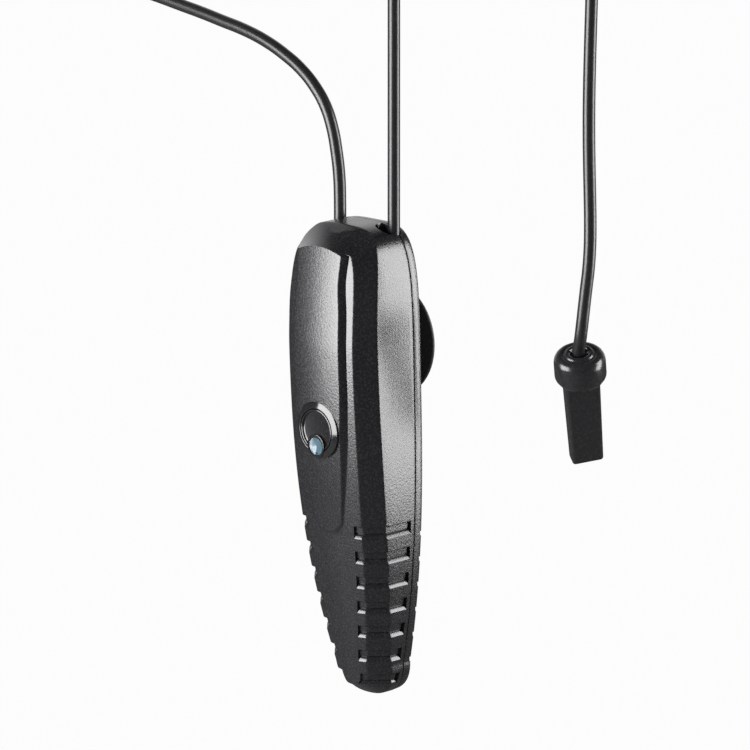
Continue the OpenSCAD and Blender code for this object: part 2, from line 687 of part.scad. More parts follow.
// ---------------------------------------------------------------- cords
// Tube swept along points, with rings square to the path. up is a direction that the path
// never follows.
function path_dir(p, i) = unit_v(i == 0 ? p[1] - p[0]
    : i == len(p) - 1 ? p[i] - p[i - 1] : unit_v(p[i + 1] - p[i]) + unit_v(p[i] - p[i - 1]));
module tube(p, r, sides, up) {
    rings = [for (i = [0:len(p) - 1])
        let (t = path_dir(p, i), n = unit_v(cross(up, t)), b = cross(t, n))
            for (k = [0:sides - 1]) p[i] + r * (cos(360 * k / sides) * n + sin(360 * k / sides) * b)];
    m = len(p) - 1;
    polyhedron(rings, concat(
        [for (i = [0:m - 1]) for (k = [0:sides - 1])
            let (a = i * sides + k, b = i * sides + (k + 1) % sides)
                each [[a, b + sides, b], [a, a + sides, b + sides]]],
        [for (k = [1:sides - 2]) [0, k, k + 1]],
        [for (k = [1:sides - 2]) [m * sides, m * sides + k + 1, m * sides + k]]));
}
function to_world(p) = [p[0],
    -stand_off + (p[1] + stand_off) * cos(lean_a) - p[2] * sin(lean_a),
    (p[1] + stand_off) * sin(lean_a) + p[2] * cos(lean_a)];

module wires(s) {
    color([0.65, 0.12, 0.12]) lean() for (e = [-1, 1]) {
        x0 = s * cord_x + e * 0.85;
        x1 = s * header_x + e * 1.25;
        y1 = board_back + 2.6;
        tube([[x0, cord_y, cord_end_z], [x0, cord_y, cord_end_z - 0.8],
            [x0 - s * 0.4, cord_y - 1, cord_end_z - 2], [x1 + s * 0.3, y1 + 1, header_z + 4.4],
            [x1, y1, header_z + 3.2], [x1, y1, header_z - 0.6]], 0.55, 6, [1, 0, 0]);
    }
}

module cord_end(s) {
    color(cord_col) lean() translate([s * cord_x, cord_y, cord_end_z])
        cylinder(h = exit_z - cord_end_z, r = cord_r);
}

// Supply lead: up out of the housing, over to the left and down to its coil
lead_y = exit_at[1];
supply_x = -166;
supply_z = 52;
supply_route = [
    [-cord_x, lead_y, exit_at[2]], [-cord_x, lead_y, 39], [-11, lead_y, 46],
    [-12.1, lead_y, 53], [-13.8, lead_y, 59.5], [-16.4, lead_y, 65], [-20.4, lead_y, 69.8],
    [-26, lead_y, 74.2], [-33, lead_y, 77.8], [-41, lead_y, 80.8], [-49.5, lead_y, 82.9],
    [-58, lead_y, 84.3], [-66.5, lead_y, 85.7], [-75, lead_y, 86.9], [-84, lead_y, 88.2],
    [-93, lead_y, 89.3], [-102, lead_y, 90], [-111, lead_y, 90.4], [-120, lead_y, 90.4],
    [-129, lead_y, 89.8], [-137.5, lead_y, 88.4], [-145.5, lead_y, 86], [-152.5, lead_y, 82.2],
    [-158.4, lead_y, 77], [-162.6, lead_y, 70.8], [-165, lead_y, 64.2],
    [supply_x + 0.1, lead_y, 58.8], [supply_x, lead_y, supply_z + cord_d]];

// A coil in the XZ plane. It winds from its outside in and out again, a layer at a time, and
// changes layer in the half turn round each change of direction.
steps_per_turn = 24;
function fold(t, span) = let (u = t % (2 * span)) u < span ? u : 2 * span - u;
function smooth(v) = let (c = clamp01(v)) c * c * (3 - 2 * c);
function layer_at(t, span, layers) =
    [for (k = [1:layers - 1]) smooth((t - k * span + 0.25) / 0.5)] * [for (k = [1:layers - 1]) 1];
function coil_points(r, turns, layers, pitch, start_a) = let (span = turns / layers)
    [for (i = [0:turns * steps_per_turn]) let (
        t = i / steps_per_turn, a = start_a - 360 * t, q = r - pitch * fold(t, span))
        [q * cos(a), -pitch * (layer_at(t, span, layers) - (layers - 1) / 2), q * sin(a)]];
function with_ends(p, d) = let (m = len(p) - 1)
    concat([p[0] + [0, 0, d[0]]], p, [p[m] + [0, 0, d[1]]]);
function least_gap(p, d) = min([for (i = [0:len(p) - 13]) for (j = [i + 12:len(p) - 1])
    norm(p[i] - p[j])]) - d;

tail_foot = 34;
tail_route_z = [supply_z - cord_d, 41, tail_foot];
supply_layers = 4;
supply_mid = [supply_x - supply_coil_r, lead_y - turn_pitch * (supply_layers - 1) / 2, supply_z];
supply_wind = coil_points(supply_coil_r, supply_turns, supply_layers, turn_pitch, 0);
tail_y = supply_mid[1] - turn_pitch * (supply_layers - 1) / 2;

sensor_turns = 5.5;
sensor_layers = 2;
sensor_z = 137;
probe_x = 64;
probe_y = 12.6;
sensor_from = [cord_x, exit_at[1]];
sensor_gap = norm([probe_x, probe_y] - sensor_from);
sensor_r = sqrt(sq(sensor_gap) - sq(turn_pitch)) / 2;
sensor_turn = atan2(probe_y - sensor_from[1], probe_x - sensor_from[0])
    + atan2(turn_pitch, 2 * sensor_r);
sensor_route_z = [exit_at[2], 42, 54, 66, 78, 90, 102, 114, 124, sensor_z - cord_d];
sensor_wind = coil_points(sensor_r, sensor_turns, sensor_layers, turn_pitch, 180);

module supply_lead() color(cord_col) tube(supply_route, cord_r, 8, [0, 1, 0]);
module supply_coil() color(cord_col) translate(supply_mid)
    tube(with_ends(supply_wind, [cord_d, -cord_d]), cord_r, 6, [0, 1, 0]);
module supply_tail() color(cord_col)
    tube([for (z = tail_route_z) [supply_x, tail_y, z]], cord_r, 8, [0, 1, 0]);
echo(least_gap_in_supply_coil = least_gap(supply_wind, cord_d));  // supply_coil
echo(least_gap_in_sensor_coil = least_gap(sensor_wind, cord_d));  // sensor_coil

// A strap round a coil, at its top. hr and ha are half its opening, radially and axially.
tie_w = 5;
tie_t = 1;
function round_rect(a, b, r) = [for (q = [[1, 1, 0], [-1, 1, 90], [-1, -1, 180], [1, -1, 270]])
    for (s = [0:15:90]) [q[0] * (a - r) + r * cos(q[2] + s), q[1] * (b - r) + r * sin(q[2] + s)]];
module tie(r_in, r_out, ha) {
    hr = (r_out - r_in) / 2 + cord_r + slip;
    hx = ha + cord_r + slip;
    translate([-tie_w / 2, 0, (r_out + r_in) / 2]) rotate([90, 0, 90]) linear_extrude(tie_w)
        difference() {
            polygon(round_rect(hx + tie_t, hr + tie_t, 2.2));
            polygon(round_rect(hx, hr, 1.2));
        }
}
module supply_tie() color(rubber_col) translate(supply_mid)
    tie(supply_coil_r - turn_pitch * supply_turns / supply_layers, supply_coil_r,
        turn_pitch * (supply_layers - 1) / 2);

module sensor_frame() translate([(sensor_from[0] + probe_x) / 2, (sensor_from[1] + probe_y) / 2,
    sensor_z]) rotate([0, 0, sensor_turn]) children();
module sensor_lead() color(cord_col)
    tube([for (z = sensor_route_z) [sensor_from[0], sensor_from[1], z]], cord_r, 8, [0, 1, 0]);
module sensor_coil() color(cord_col) sensor_frame()
    tube(with_ends(sensor_wind, [-cord_d, -cord_d]), cord_r, 6, [0, 1, 0]);
module sensor_tie() color(rubber_col) sensor_frame()
    tie(sensor_r - turn_pitch * sensor_turns / sensor_layers, sensor_r,
        turn_pitch * (sensor_layers - 1) / 2);

// The lead comes down to the probe, which hangs out of plumb
cap_top = [58.3, 14.2, 2.4];
probe_axis = [cos(probe_tilt) * sin(probe_lean), -sin(probe_tilt),
    cos(probe_tilt) * cos(probe_lean)];
cap_recess = 1.2;
function in_probe(s) = cap_top + s * probe_axis;
drop_route = concat(
    [for (z = [sensor_z - cord_d, 124, 114, 104]) [probe_x, probe_y, z]],
    [[63.7, probe_y, 94], [63.4, probe_y, 84], [63.2, probe_y, 74], [63.2, probe_y, 65],
    [63.4, probe_y, 56], [63.7, probe_y, 47], [63.9, probe_y, 39], [63.8, probe_y, 32.5],
    [63.3, probe_y, 26.5], [62.4, probe_y, 20.5], [61.6, probe_y, 15], [60.8, 12.7, 10],
    [60, 13, 6.6]],
    [in_probe(0.6), in_probe(-cap_recess)]);
module sensor_drop() color(cord_col) tube(drop_route, cord_r, 8, [0, 1, 0]);

// ---------------------------------------------------------------- plug
module plug_turned(points) {
    translate([supply_x, tail_y, tail_foot]) rotate_extrude() polygon(points);
}
barrel_top = -relief_l - plug_l;
rib_n = 5;                // ribs on the strain relief
rib_deep = 0.45;
rib_in = 1.6;             // how far the first rib stands out from the cord
rib_out = 2.6;            // how far the last one does
flange_r = barrel_r + 0.45;
flange_l = 3.9;
module plug_relief() {
    rib_pitch = (relief_l - 3) / rib_n;
    color(rubber_col) plug_turned(concat([[0, 0], [cord_r + 0.5, 0]],
        [for (k = [0:rib_n - 1]) let (z = -1.5 - k * rib_pitch,
            r = cord_r + rib_in + (rib_out - rib_in) * k / (rib_n - 1))
            each [[r, z], [r + 0.1, z - rib_pitch * 0.6], [r - rib_deep, z - rib_pitch * 0.62],
                [r - rib_deep + 0.1, z - rib_pitch * 0.98]]],
        [[cord_r + rib_out, -relief_l + 1.2], [cord_r + rib_out + 0.1, -relief_l], [0, -relief_l]]));
}
module plug_body() {
    color(rubber_col) difference() {
        plug_turned([[0, -relief_l], [plug_r - 0.6, -relief_l], [plug_r - 0.15, -relief_l - 0.4],
            [plug_r, -relief_l - 1.2], [plug_r, barrel_top + 0.6], [plug_r - 0.6, barrel_top],
            [0, barrel_top]]);
        translate([supply_x, tail_y, tail_foot + barrel_top - facing])
            cylinder(h = flange_l + fit + facing, r = flange_r + fit);
    }
}
module plug_barrel() {
    color(steel_col) plug_turned([[barrel_r - 0.4, barrel_top + flange_l],
        [flange_r, barrel_top + flange_l], [flange_r, barrel_top], [barrel_r, barrel_top],
        [barrel_r, barrel_top - barrel_l + 0.2], [barrel_r - 0.2, barrel_top - barrel_l],
        [barrel_r - 0.4, barrel_top - barrel_l]]);
}
contact_r = 1.05;
contact_t = 0.3;
module plug_insulator() {
    color(gloss_col) plug_turned([[contact_r + contact_t + fit, barrel_top + flange_l],
        [barrel_r - 0.4 - fit, barrel_top + flange_l], [barrel_r - 0.4 - fit, barrel_top - barrel_l],
        [contact_r + contact_t + fit, barrel_top - barrel_l]]);
}
module plug_contact() {
    color(steel_col) plug_turned([[contact_r, barrel_top + flange_l - 0.4],
        [contact_r + contact_t, barrel_top + flange_l - 0.4], [contact_r + contact_t, barrel_top - barrel_l + 0.3],
        [contact_r, barrel_top - barrel_l + 0.3]]);
}

// ---------------------------------------------------------------- probe
module in_probe_frame() translate(cap_top) rotate([probe_tilt, probe_lean, 0]) children();
bulb_h = 7.8;
sleeve_top = -5.4;
sleeve_foot = -cap_h - sleeve_l;
sleeve_wall = 0.9;
sleeve_edge = 1;
sleeve_turn = 60;        // turn of the sleeve's wide face about the probe's axis
// The section of the sleeve, or of what fits in it, with width w and a wall of i outside it
module sleeve_section(w, i) {
    rotate(sleeve_turn) polygon(round_rect(w / 2 - i, sleeve_t / 2 - i, max(0.3, sleeve_edge - i)));
}
module probe_cap() {
    color(rubber_col) in_probe_frame() difference() {
        rotate_extrude() polygon([
            [0, -cap_recess], [cord_r + 0.5, -cap_recess], [cord_r + 1.1, -0.2], [cord_r + 1.5, 0],
            [cord_r + 2.1, -0.2], [cord_r + 2.4, -0.5], [cord_r + 2.6, -0.8], [cap_r * 0.68, -0.6],
            [cap_r * 0.82, -0.7], [cap_r * 0.92, -1.3], [cap_r * 0.98, -2.2], [cap_r, -3.3],
            [cap_r, -bulb_h + 0.3], [cap_r * 0.97, -bulb_h - 0.5], [sleeve_w / 2 + 0.8, -cap_h],
            [0, -cap_h]]);
        translate([0, 0, -cap_h - facing]) linear_extrude(cap_h + facing + sleeve_top + fit)
            sleeve_section(sleeve_w + 2 * fit, -fit);
    }
}
// One stretch of the tapered sleeve, or of its bore, with a wall of i outside it
module sleeve_solid(top, foot_z, w0, w1, i) {
    hull() {
        for (e = [[top - eps, w0], [foot_z, w1]]) translate([0, 0, e[0]]) linear_extrude(eps)
            sleeve_section(e[1], i);
    }
}
bore_foot = sleeve_foot + 1.5;
module probe_sleeve() {
    color(rubber_col) in_probe_frame() difference() {
        union() {
            sleeve_solid(sleeve_top, -cap_h, sleeve_w, sleeve_w, 0);
            sleeve_solid(-cap_h + eps, sleeve_foot, sleeve_w, sleeve_foot_w, 0);
        }
        sleeve_solid(sleeve_top + facing, bore_foot, sleeve_foot_w, sleeve_foot_w, sleeve_wall);
    }
}
bead_r = 1.1;
bead_z = bore_foot + 1.5;
bead_l = 2.4;
leg_x = 0.55;
leg_r = 0.25;
potting_top = sleeve_top - 0.5;
module probe_potting() {
    color([0.75, 0.72, 0.62]) in_probe_frame() difference() {
        sleeve_solid(potting_top, bead_z, sleeve_foot_w, sleeve_foot_w, sleeve_wall + fit);
        translate([0, 0, bead_z - facing]) cylinder(h = bead_l + fit + facing, r = bead_r + fit);
        for (s = [-1, 1]) translate([s * leg_x, 0, bead_z + bead_l - facing])
            cylinder(h = cap_h + sleeve_l, r = leg_r + fit, $fn = 24);
    }
}
module thermistor() {
    color([0.15, 0.12, 0.10]) in_probe_frame() difference() {
        translate([0, 0, bead_z]) rotate_extrude() polygon([[0, -0.9], [bead_r * 0.6, -0.6],
            [bead_r, 0.1], [bead_r, bead_l], [0, bead_l]]);
        for (s = [-1, 1]) translate([s * leg_x, 0, bead_z + bead_l - 1])
            cylinder(h = 2, r = leg_r + fit, $fn = 24);
    }
}
module thermistor_legs() {
    color(steel_col) in_probe_frame() for (s = [-1, 1])
        translate([s * leg_x, 0, bead_z + bead_l - 1])
            cylinder(h = potting_top - bead_z - bead_l + 1, r = leg_r, $fn = 24);
}

// ---------------------------------------------------------------- suction cup
lip_r = cup_r - 5;       // inner edge of the flat lip
nub_r = 2.5;             // radius of the moulded nub in the cup's middle
hollow = 1.1;            // depth of the hollow under the cup
head_back = stand_off + socket_back_t + slip;
module suction_cup() {
    color(rubber_col) rotate([90, 0, 0]) rotate_extrude() polygon([
        [0, 0], [nub_r, 0], [nub_r + 0.7, hollow], [lip_r - 1.4, hollow], [lip_r, 0], [cup_r, 0],
        [cup_r + 0.2, 0.3], [cup_r, 0.9], [cup_r - 1.6, 1.5], [cup_r - 4, 2.5], [cup_r - 7, 4],
        [cup_r - 9.6, 5.4], [neck_r + 1.6, stand_off - 0.9], [neck_r + 1.2, stand_off - 0.35],
        [neck_r, stand_off - 0.1], [neck_r, head_back], [head_r, head_back],
        [head_r, head_back + head_t - 0.7], [head_r - 0.9, head_back + head_t],
        [0, head_back + head_t]]);
}

front_shell();
rear_cover();
seam_gasket();
cover_screws();
dial_bezel();
dial_knob();
knob_pointer();
pot_body();
pot_shaft();
circuit_board();
board_screws();
control_chip();
output_transistor();
capacitors();
resistors();
status_led();
header(-1);  // supply_header
header(1);  // sensor_header
wires(-1);  // supply_wires
wires(1);  // sensor_wires
cord_end(-1);  // supply_cord_end
cord_end(1);  // sensor_cord_end
suction_cup();
supply_lead();
supply_coil();
supply_tail();
supply_tie();
plug_relief();
plug_body();
plug_barrel();
plug_insulator();
plug_contact();
sensor_lead();
sensor_coil();
sensor_drop();
sensor_tie();
probe_cap();
probe_sleeve();
probe_potting();
thermistor();
thermistor_legs();
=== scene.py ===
import math

import bmesh
import bpy
from mathutils import Matrix, Vector


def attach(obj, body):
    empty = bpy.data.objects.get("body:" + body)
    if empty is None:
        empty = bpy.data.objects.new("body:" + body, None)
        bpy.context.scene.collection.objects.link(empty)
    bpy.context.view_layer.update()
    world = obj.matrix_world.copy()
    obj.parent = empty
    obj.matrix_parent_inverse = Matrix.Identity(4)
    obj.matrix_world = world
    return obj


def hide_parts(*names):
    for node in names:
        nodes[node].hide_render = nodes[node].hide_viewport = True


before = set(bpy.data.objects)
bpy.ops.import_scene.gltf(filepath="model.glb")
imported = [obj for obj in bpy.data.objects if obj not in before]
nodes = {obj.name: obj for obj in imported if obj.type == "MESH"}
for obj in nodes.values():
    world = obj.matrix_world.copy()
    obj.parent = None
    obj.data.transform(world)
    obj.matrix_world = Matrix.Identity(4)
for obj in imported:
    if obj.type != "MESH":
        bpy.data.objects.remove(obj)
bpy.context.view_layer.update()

# -------------------- view
# A long lens looks at the housing's front right edge from a little above, so that the
# raised panel, the bevel, the grooves and the seam show at once.
view_azimuth = math.radians(45.5)
view_elevation = math.radians(11.7)
view_target = Vector((0.0126, -0.0200, -0.00596))
view_lens = 400
sensor_width = 36
image_width = 750
pixels_per_metre = 3600
towards_viewer = Vector((math.sin(view_azimuth) * math.cos(view_elevation),
                         -math.cos(view_azimuth) * math.cos(view_elevation),
                         math.sin(view_elevation)))


def placed(name, data):
    """A new object in the scene."""
    piece = bpy.data.objects.new(name, data)
    bpy.context.scene.collection.objects.link(piece)
    return piece


camera_data = bpy.data.cameras.new("studio_camera")
camera_data.lens = view_lens
camera_data.sensor_width = sensor_width
camera_data.clip_start = 0.1
camera_data.clip_end = 60
camera = placed("studio_camera", camera_data)
camera_distance = image_width * view_lens / (sensor_width * pixels_per_metre)
camera.location = view_target + towards_viewer * camera_distance
camera.rotation_mode = "QUATERNION"
camera.rotation_quaternion = (-towards_viewer).to_track_quat("-Z", "Y")
bpy.context.scene.camera = camera

# -------------------- supply lead
# Round two-core lead in soft black vinyl. It comes out of the housing's top at the seam,
# rises, bends over to the left and ends in a low-voltage plug; its spare length is wound
# into a round coil of four layers held by a strap.
MM = 0.001
cord_d = 3.5
turn_pitch = 4.0
cord_x = 10.7
lead_y = -10.809
exit_z = 30.688
supply_x = -166.0
supply_z = 52.0
supply_coil_r = 25.2
supply_turns = 10
supply_layers = 4
tail_foot = 34.0
supply_route = [
    (-cord_x, exit_z), (-cord_x, 39), (-11, 46), (-12.1, 53), (-13.8, 59.5), (-16.4, 65),
    (-20.4, 69.8), (-26, 74.2), (-33, 77.8), (-41, 80.8), (-49.5, 82.9), (-58, 84.3),
    (-66.5, 85.7), (-75, 86.9), (-84, 88.2), (-93, 89.3), (-102, 90), (-111, 90.4),
    (-120, 90.4), (-129, 89.8), (-137.5, 88.4), (-145.5, 86), (-152.5, 82.2), (-158.4, 77),
    (-162.6, 70.8), (-165, 64.2), (supply_x + 0.1, 58.8), (supply_x, supply_z + cord_d)]
points_per_turn = 16


def layer_at(t, span, layers):
    """The layer that the cord is in after t turns, with an easy step to each next one."""
    total = 0
    for k in range(1, layers):
        c = min(1, max(0, (t - k * span + 0.25) / 0.5))
        total += c * c * (3 - 2 * c)
    return total


def coil_points(radius, turns, layers, start_angle):
    """A coil in the XZ plane, wound in and out again a layer at a time."""
    span = turns / layers
    wound = []
    for i in range(int(turns * points_per_turn) + 1):
        t = i / points_per_turn
        angle = math.radians(start_angle - 360 * t)
        into = t % (2 * span)
        q = radius - turn_pitch * (into if into < span else 2 * span - into)
        wound.append(Vector((q * math.cos(angle),
                             -turn_pitch * (layer_at(t, span, layers) - (layers - 1) / 2),
                             q * math.sin(angle))))
    return wound


def cord_curve(name, points):
    """A round cord along points in millimetres, as a curve of one spline."""
    curve = bpy.data.curves.new(name, "CURVE")
    curve.dimensions = "3D"
    curve.bevel_depth = cord_d / 2 * MM
    curve.bevel_resolution = 5
    curve.resolution_u = 5
    curve.use_fill_caps = True
    spline = curve.splines.new("BEZIER")
    spline.bezier_points.add(len(points) - 1)
    for knot, point in zip(spline.bezier_points, points):
        knot.co = Vector(point) * MM
        knot.handle_left_type = knot.handle_right_type = "AUTO"
    return placed(name, curve)


def math_node(tree, operation, a, b=None, c=None):
    """A Math node; a, b and c are numbers or sockets. Returns its output."""
    node = tree.nodes.new("ShaderNodeMath")
    node.operation = operation
    for socket, value in zip(node.inputs, (a, b, c)):
        if isinstance(value, bpy.types.NodeSocket):
            tree.links.new(value, socket)
        elif value is not None:
            socket.default_value = value
    return node.outputs[0]


def above(tree, value, level, gain):
    """How far a value is above a level, times a gain."""
    return math_node(tree, "MULTIPLY", math_node(tree, "SUBTRACT", value, level), gain)


# The grain of a moulded surface: fine specks, and broad faint patches where it was handled.
# A speck rises out of the noise above one level and takes its own tint above another.
rise_from = 0.3
rise_gain = 2.2
tint_from = 0.48
tint_gain = 7.0
grain = bpy.data.node_groups.new("moulded_grain", "ShaderNodeTree")
for in_out, sockets in (
        ("INPUT", (("Color", "Color"), ("Speck Color", "Color"), ("Speck Share", "Float"),
                   ("Speck Scale", "Float"), ("Roughness", "Float"), ("Patch Spread", "Float"))),
        ("OUTPUT", (("Color", "Color"), ("Roughness", "Float"), ("Height", "Float")))):
    for socket_name, kind in sockets:
        grain.interface.new_socket(socket_name, in_out=in_out, socket_type="NodeSocket" + kind)
grain_in = grain.nodes.new("NodeGroupInput").outputs
grain_out = grain.nodes.new("NodeGroupOutput").inputs
place = grain.nodes.new("ShaderNodeTexCoord")
speck = grain.nodes.new("ShaderNodeTexNoise")
speck.inputs["Detail"].default_value = 1
speck.inputs["Roughness"].default_value = 0.5
grain.links.new(place.outputs["Object"], speck.inputs["Vector"])
grain.links.new(grain_in["Speck Scale"], speck.inputs["Scale"])
patch = grain.nodes.new("ShaderNodeTexNoise")
patch.inputs["Scale"].default_value = 55
patch.inputs["Detail"].default_value = 4
grain.links.new(place.outputs["Object"], patch.inputs["Vector"])
tint = grain.nodes.new("ShaderNodeMix")
tint.data_type = "RGBA"
flecks = above(grain, speck.outputs["Fac"], tint_from, tint_gain)
grain.links.new(math_node(grain, "MULTIPLY", flecks, grain_in["Speck Share"]),
                tint.inputs["Factor"])
grain.links.new(grain_in["Color"], tint.inputs["A"])
grain.links.new(grain_in["Speck Color"], tint.inputs["B"])
grain.links.new(tint.outputs["Result"], grain_out["Color"])
patchy = above(grain, patch.outputs["Fac"], 0.5, grain_in["Patch Spread"])
grain.links.new(math_node(grain, "ADD", grain_in["Roughness"], patchy), grain_out["Roughness"])
grain.links.new(above(grain, speck.outputs["Fac"], rise_from, rise_gain), grain_out["Height"])


def moulded(name, colour, speck_colour, roughness, speck_share=0.5, speck_scale=900.0,
            patch_spread=0.1, bump=0.05, depth=0.02, ior=1.5, metallic=0.0):
    """A material with the moulded grain; depth is the grain's height in millimetres."""
    material = bpy.data.materials.new(name)
    material.use_nodes = True
    tree = material.node_tree
    shader = tree.nodes["Principled BSDF"]
    shader.inputs["IOR"].default_value = ior
    shader.inputs["Metallic"].default_value = metallic
    surface = tree.nodes.new("ShaderNodeGroup")
    surface.node_tree = grain
    for socket_name, value in (
            ("Color", (*colour, 1)), ("Speck Color", (*speck_colour, 1)),
            ("Speck Share", speck_share), ("Speck Scale", speck_scale),
            ("Roughness", roughness), ("Patch Spread", patch_spread)):
        surface.inputs[socket_name].default_value = value
    relief = tree.nodes.new("ShaderNodeBump")
    relief.inputs["Strength"].default_value = bump
    relief.inputs["Distance"].default_value = depth * MM
    tree.links.new(surface.outputs["Color"], shader.inputs["Base Color"])
    tree.links.new(surface.outputs["Roughness"], shader.inputs["Roughness"])
    tree.links.new(surface.outputs["Height"], relief.inputs["Height"])
    tree.links.new(relief.outputs["Normal"], shader.inputs["Normal"])
    return material


def painted(piece, material):
    """Gives a piece one material."""
    piece.data.materials.clear()
    piece.data.materials.append(material)


vinyl = moulded("black_vinyl", (0.030, 0.030, 0.032), (0.046, 0.046, 0.048), 0.30,
                speck_scale=1400.0, patch_spread=0.12, bump=0.1, ior=1.52)
supply_middle = Vector((supply_x - supply_coil_r,
                        lead_y - turn_pitch * (supply_layers - 1) / 2, supply_z))
tail_y = supply_middle.y - turn_pitch * (supply_layers - 1) / 2
supply_path = [Vector((x, lead_y, z)) for x, z in supply_route]
supply_path += [supply_middle + p
                for p in coil_points(supply_coil_r, supply_turns, supply_layers, 0)]
supply_path += [Vector((supply_x, tail_y, z)) for z in (supply_z - cord_d, 41, tail_foot)]
supply_cord = cord_curve("supply_cord", supply_path)
painted(supply_cord, vinyl)
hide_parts("supply_lead", "supply_coil", "supply_tail")
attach(supply_cord, "housing")

# -------------------- sensor lead
# The same vinyl lead, with one core pair for the thermistor. It rises straight out of the
# top, its spare length is coiled above the housing, and it drops to the probe in the tank.
sensor_turns = 5.5
sensor_layers = 2
sensor_z = 137.0
probe_x = 64.0
probe_y = 12.6
probe_lean = math.radians(14)
probe_tilt = math.radians(19)
cap_top = Vector((58.3, 14.2, 2.4))
cap_recess = 1.2
sensor_start = Vector((cord_x, lead_y, 0))
sensor_end = Vector((probe_x, probe_y, 0))
sensor_gap = (sensor_end - sensor_start).length
sensor_coil_r = math.sqrt(sensor_gap ** 2 - turn_pitch ** 2) / 2
sensor_turn = (math.atan2(probe_y - lead_y, probe_x - cord_x)
               + math.atan2(turn_pitch, 2 * sensor_coil_r))
sensor_middle = (sensor_start + sensor_end) / 2 + Vector((0, 0, sensor_z))
turned = Matrix.Rotation(sensor_turn, 4, "Z")


def in_probe(along):
    """A point on the probe's axis, which leans sideways and towards the glass."""
    return cap_top + along * Vector((math.cos(probe_tilt) * math.sin(probe_lean),
                                     -math.sin(probe_tilt),
                                     math.cos(probe_tilt) * math.cos(probe_lean)))


sensor_path = [Vector((cord_x, lead_y, z))
               for z in (exit_z, 42, 54, 66, 78, 90, 102, 114, 124, sensor_z - cord_d)]
sensor_path += [sensor_middle + turned @ p
                for p in coil_points(sensor_coil_r, sensor_turns, sensor_layers, 180)]
sensor_path += [Vector((x, probe_y, z)) for x, z in (
    (probe_x, sensor_z - cord_d), (probe_x, 124), (probe_x, 114), (probe_x, 104), (63.7, 94),
    (63.4, 84), (63.2, 74), (63.2, 65), (63.4, 56), (63.7, 47), (63.9, 39), (63.8, 32.5),
    (63.3, 26.5), (62.4, 20.5), (61.6, 15))]
sensor_path += [Vector((60.8, 12.7, 10)), Vector((60, 13, 6.6)), in_probe(0.6),
                in_probe(-cap_recess)]
sensor_cord = cord_curve("sensor_cord", sensor_path)
painted(sensor_cord, vinyl)
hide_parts("sensor_lead", "sensor_coil", "sensor_drop")
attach(sensor_cord, "housing")

# -------------------- front shell
# One injection moulding in satin black plastic with a fine spark-eroded grain. It carries the
# raised front panel, the bevel, seven grip grooves a side and a bored seat for the dial, and
# it closes on the rear cover at the seam. All points are in the housing's own millimetres.
body_w = 35.0
body_l = 135.8
rise = 35.3
drop = body_l - rise
tip_w = 22.0
bevel = 4.9
tip_fall = 11.2
top_fall = 5.4
shelf_fall = 0.6
crown = 1.0
wall = 1.9
cover_t = 3.25
stand_off = 6.5
step_h = 1.6
step_end = 0.35
panel_hw = 10.6
panel_end_hw = 6.0
panel_end_z = -51.5
panel_round = 5.5
panel_full_z = -22.0
seam_y = -(stand_off + cover_t)
edge_y = seam_y - 14.15
z_deep = 2.0
z_wide = -12.0
z_arch = -5.0
z_tip = -(drop - 10)
front_in = 3.2
tip_in = 3.6
arch_n = 4.2
tip_n = 2.4
front_n = 5.5
panel_n = 10.0
panel_top = rise - z_arch - front_in + 2.2
tip_foot = 0.36
tip_head = 0.26
waist = 0.085
waist_z = 21.0
waist_spread = 6.0
low_row = -96.2
high_row = 12.0
cap_rows = 12
arch_rows = 52
panel_columns = 14
lean = math.radians(1.6)
groove_from = 49.6
groove_pitch = 7.45
groove_n = 7
groove_h = 2.1
groove_d = 0.8
lip_h = 1.3
mitre = 0.41
edge_round = 0.45
dial_z = -21.4
# the ovals that round the tip and arch the top, each by its half width, height and power
tip_outline = (tip_w / 2, drop + z_tip, tip_n)
tip_front = (tip_w / 2 - bevel, drop + z_tip - tip_in, tip_n)
arch_outline = (body_w / 2, rise - z_arch, arch_n)
arch_front = (body_w / 2 - bevel, rise - z_arch - front_in, front_n)
arch_foot = (panel_hw, panel_top, panel_n)
arch_head = (panel_hw - step_h, panel_top - 0.6 * step_h, panel_n)
housing_frame = (Matrix.Scale(MM, 4) @ Matrix.Translation((0, -stand_off, 0))
                 @ Matrix.Rotation(lean, 4, "X") @ Matrix.Translation((0, stand_off, 0)))


def squared(half_width, height, power, reached):
    """Half width of an oval of that height where its height has reached a value."""
    return half_width * max(0.0, 1 - (reached / height) ** power) ** (1 / power)


def side_hw(z):
    """Half width of the housing at a height on its straight sides, which taper to the tip."""
    narrowing = max(0.0, (z_wide - z) / (z_wide - z_tip)) ** 2.6
    return body_w / 2 - (body_w - tip_w) / 2 * narrowing


def outline_hw(z):
    """Half width of the housing's outline, with its round tip and its arched top."""
    if z < z_tip:
        return squared(*tip_outline, z_tip - z)
    if z > z_arch:
        return squared(*arch_outline, z - z_arch)
    return side_hw(z)


def front_hw(z):
    """Half width of the front face inside the bevel."""
    if z < z_tip:
        return squared(*tip_front, z_tip - z)
    if z > z_arch:
        return squared(*arch_front, z - z_arch)
    return side_hw(z) - bevel


def bevel_y(z):
    """Depth of the edge where the side turns into the bevel."""
    if z > z_deep:
        return edge_y + top_fall * ((z - z_deep) / (rise - z_deep)) ** 2.6
    return edge_y + tip_fall * ((z_deep - z) / (drop + z_deep)) ** 1.9


def shelf_y(z):
    """Depth of the front face at its side edge, where the bevel ends."""
    if z > z_deep:
        return edge_y - bevel + top_fall * shelf_fall * ((z - z_deep) / (rise - z_deep)) ** 1.5
    return bevel_y(z) - bevel


def crown_y(x, z):
    """Depth of the front face, which is crowned across its width."""
    across = min(1.0, abs(x) / (min(side_hw(z), body_w / 2) - bevel))
    return shelf_y(z) - crown * (1 - across ** 2)


def waisted(x, z):
    """A half width drawn in at the panel's waist."""
    return x * (1 - waist * math.exp(-((z - waist_z) / waist_spread) ** 2))


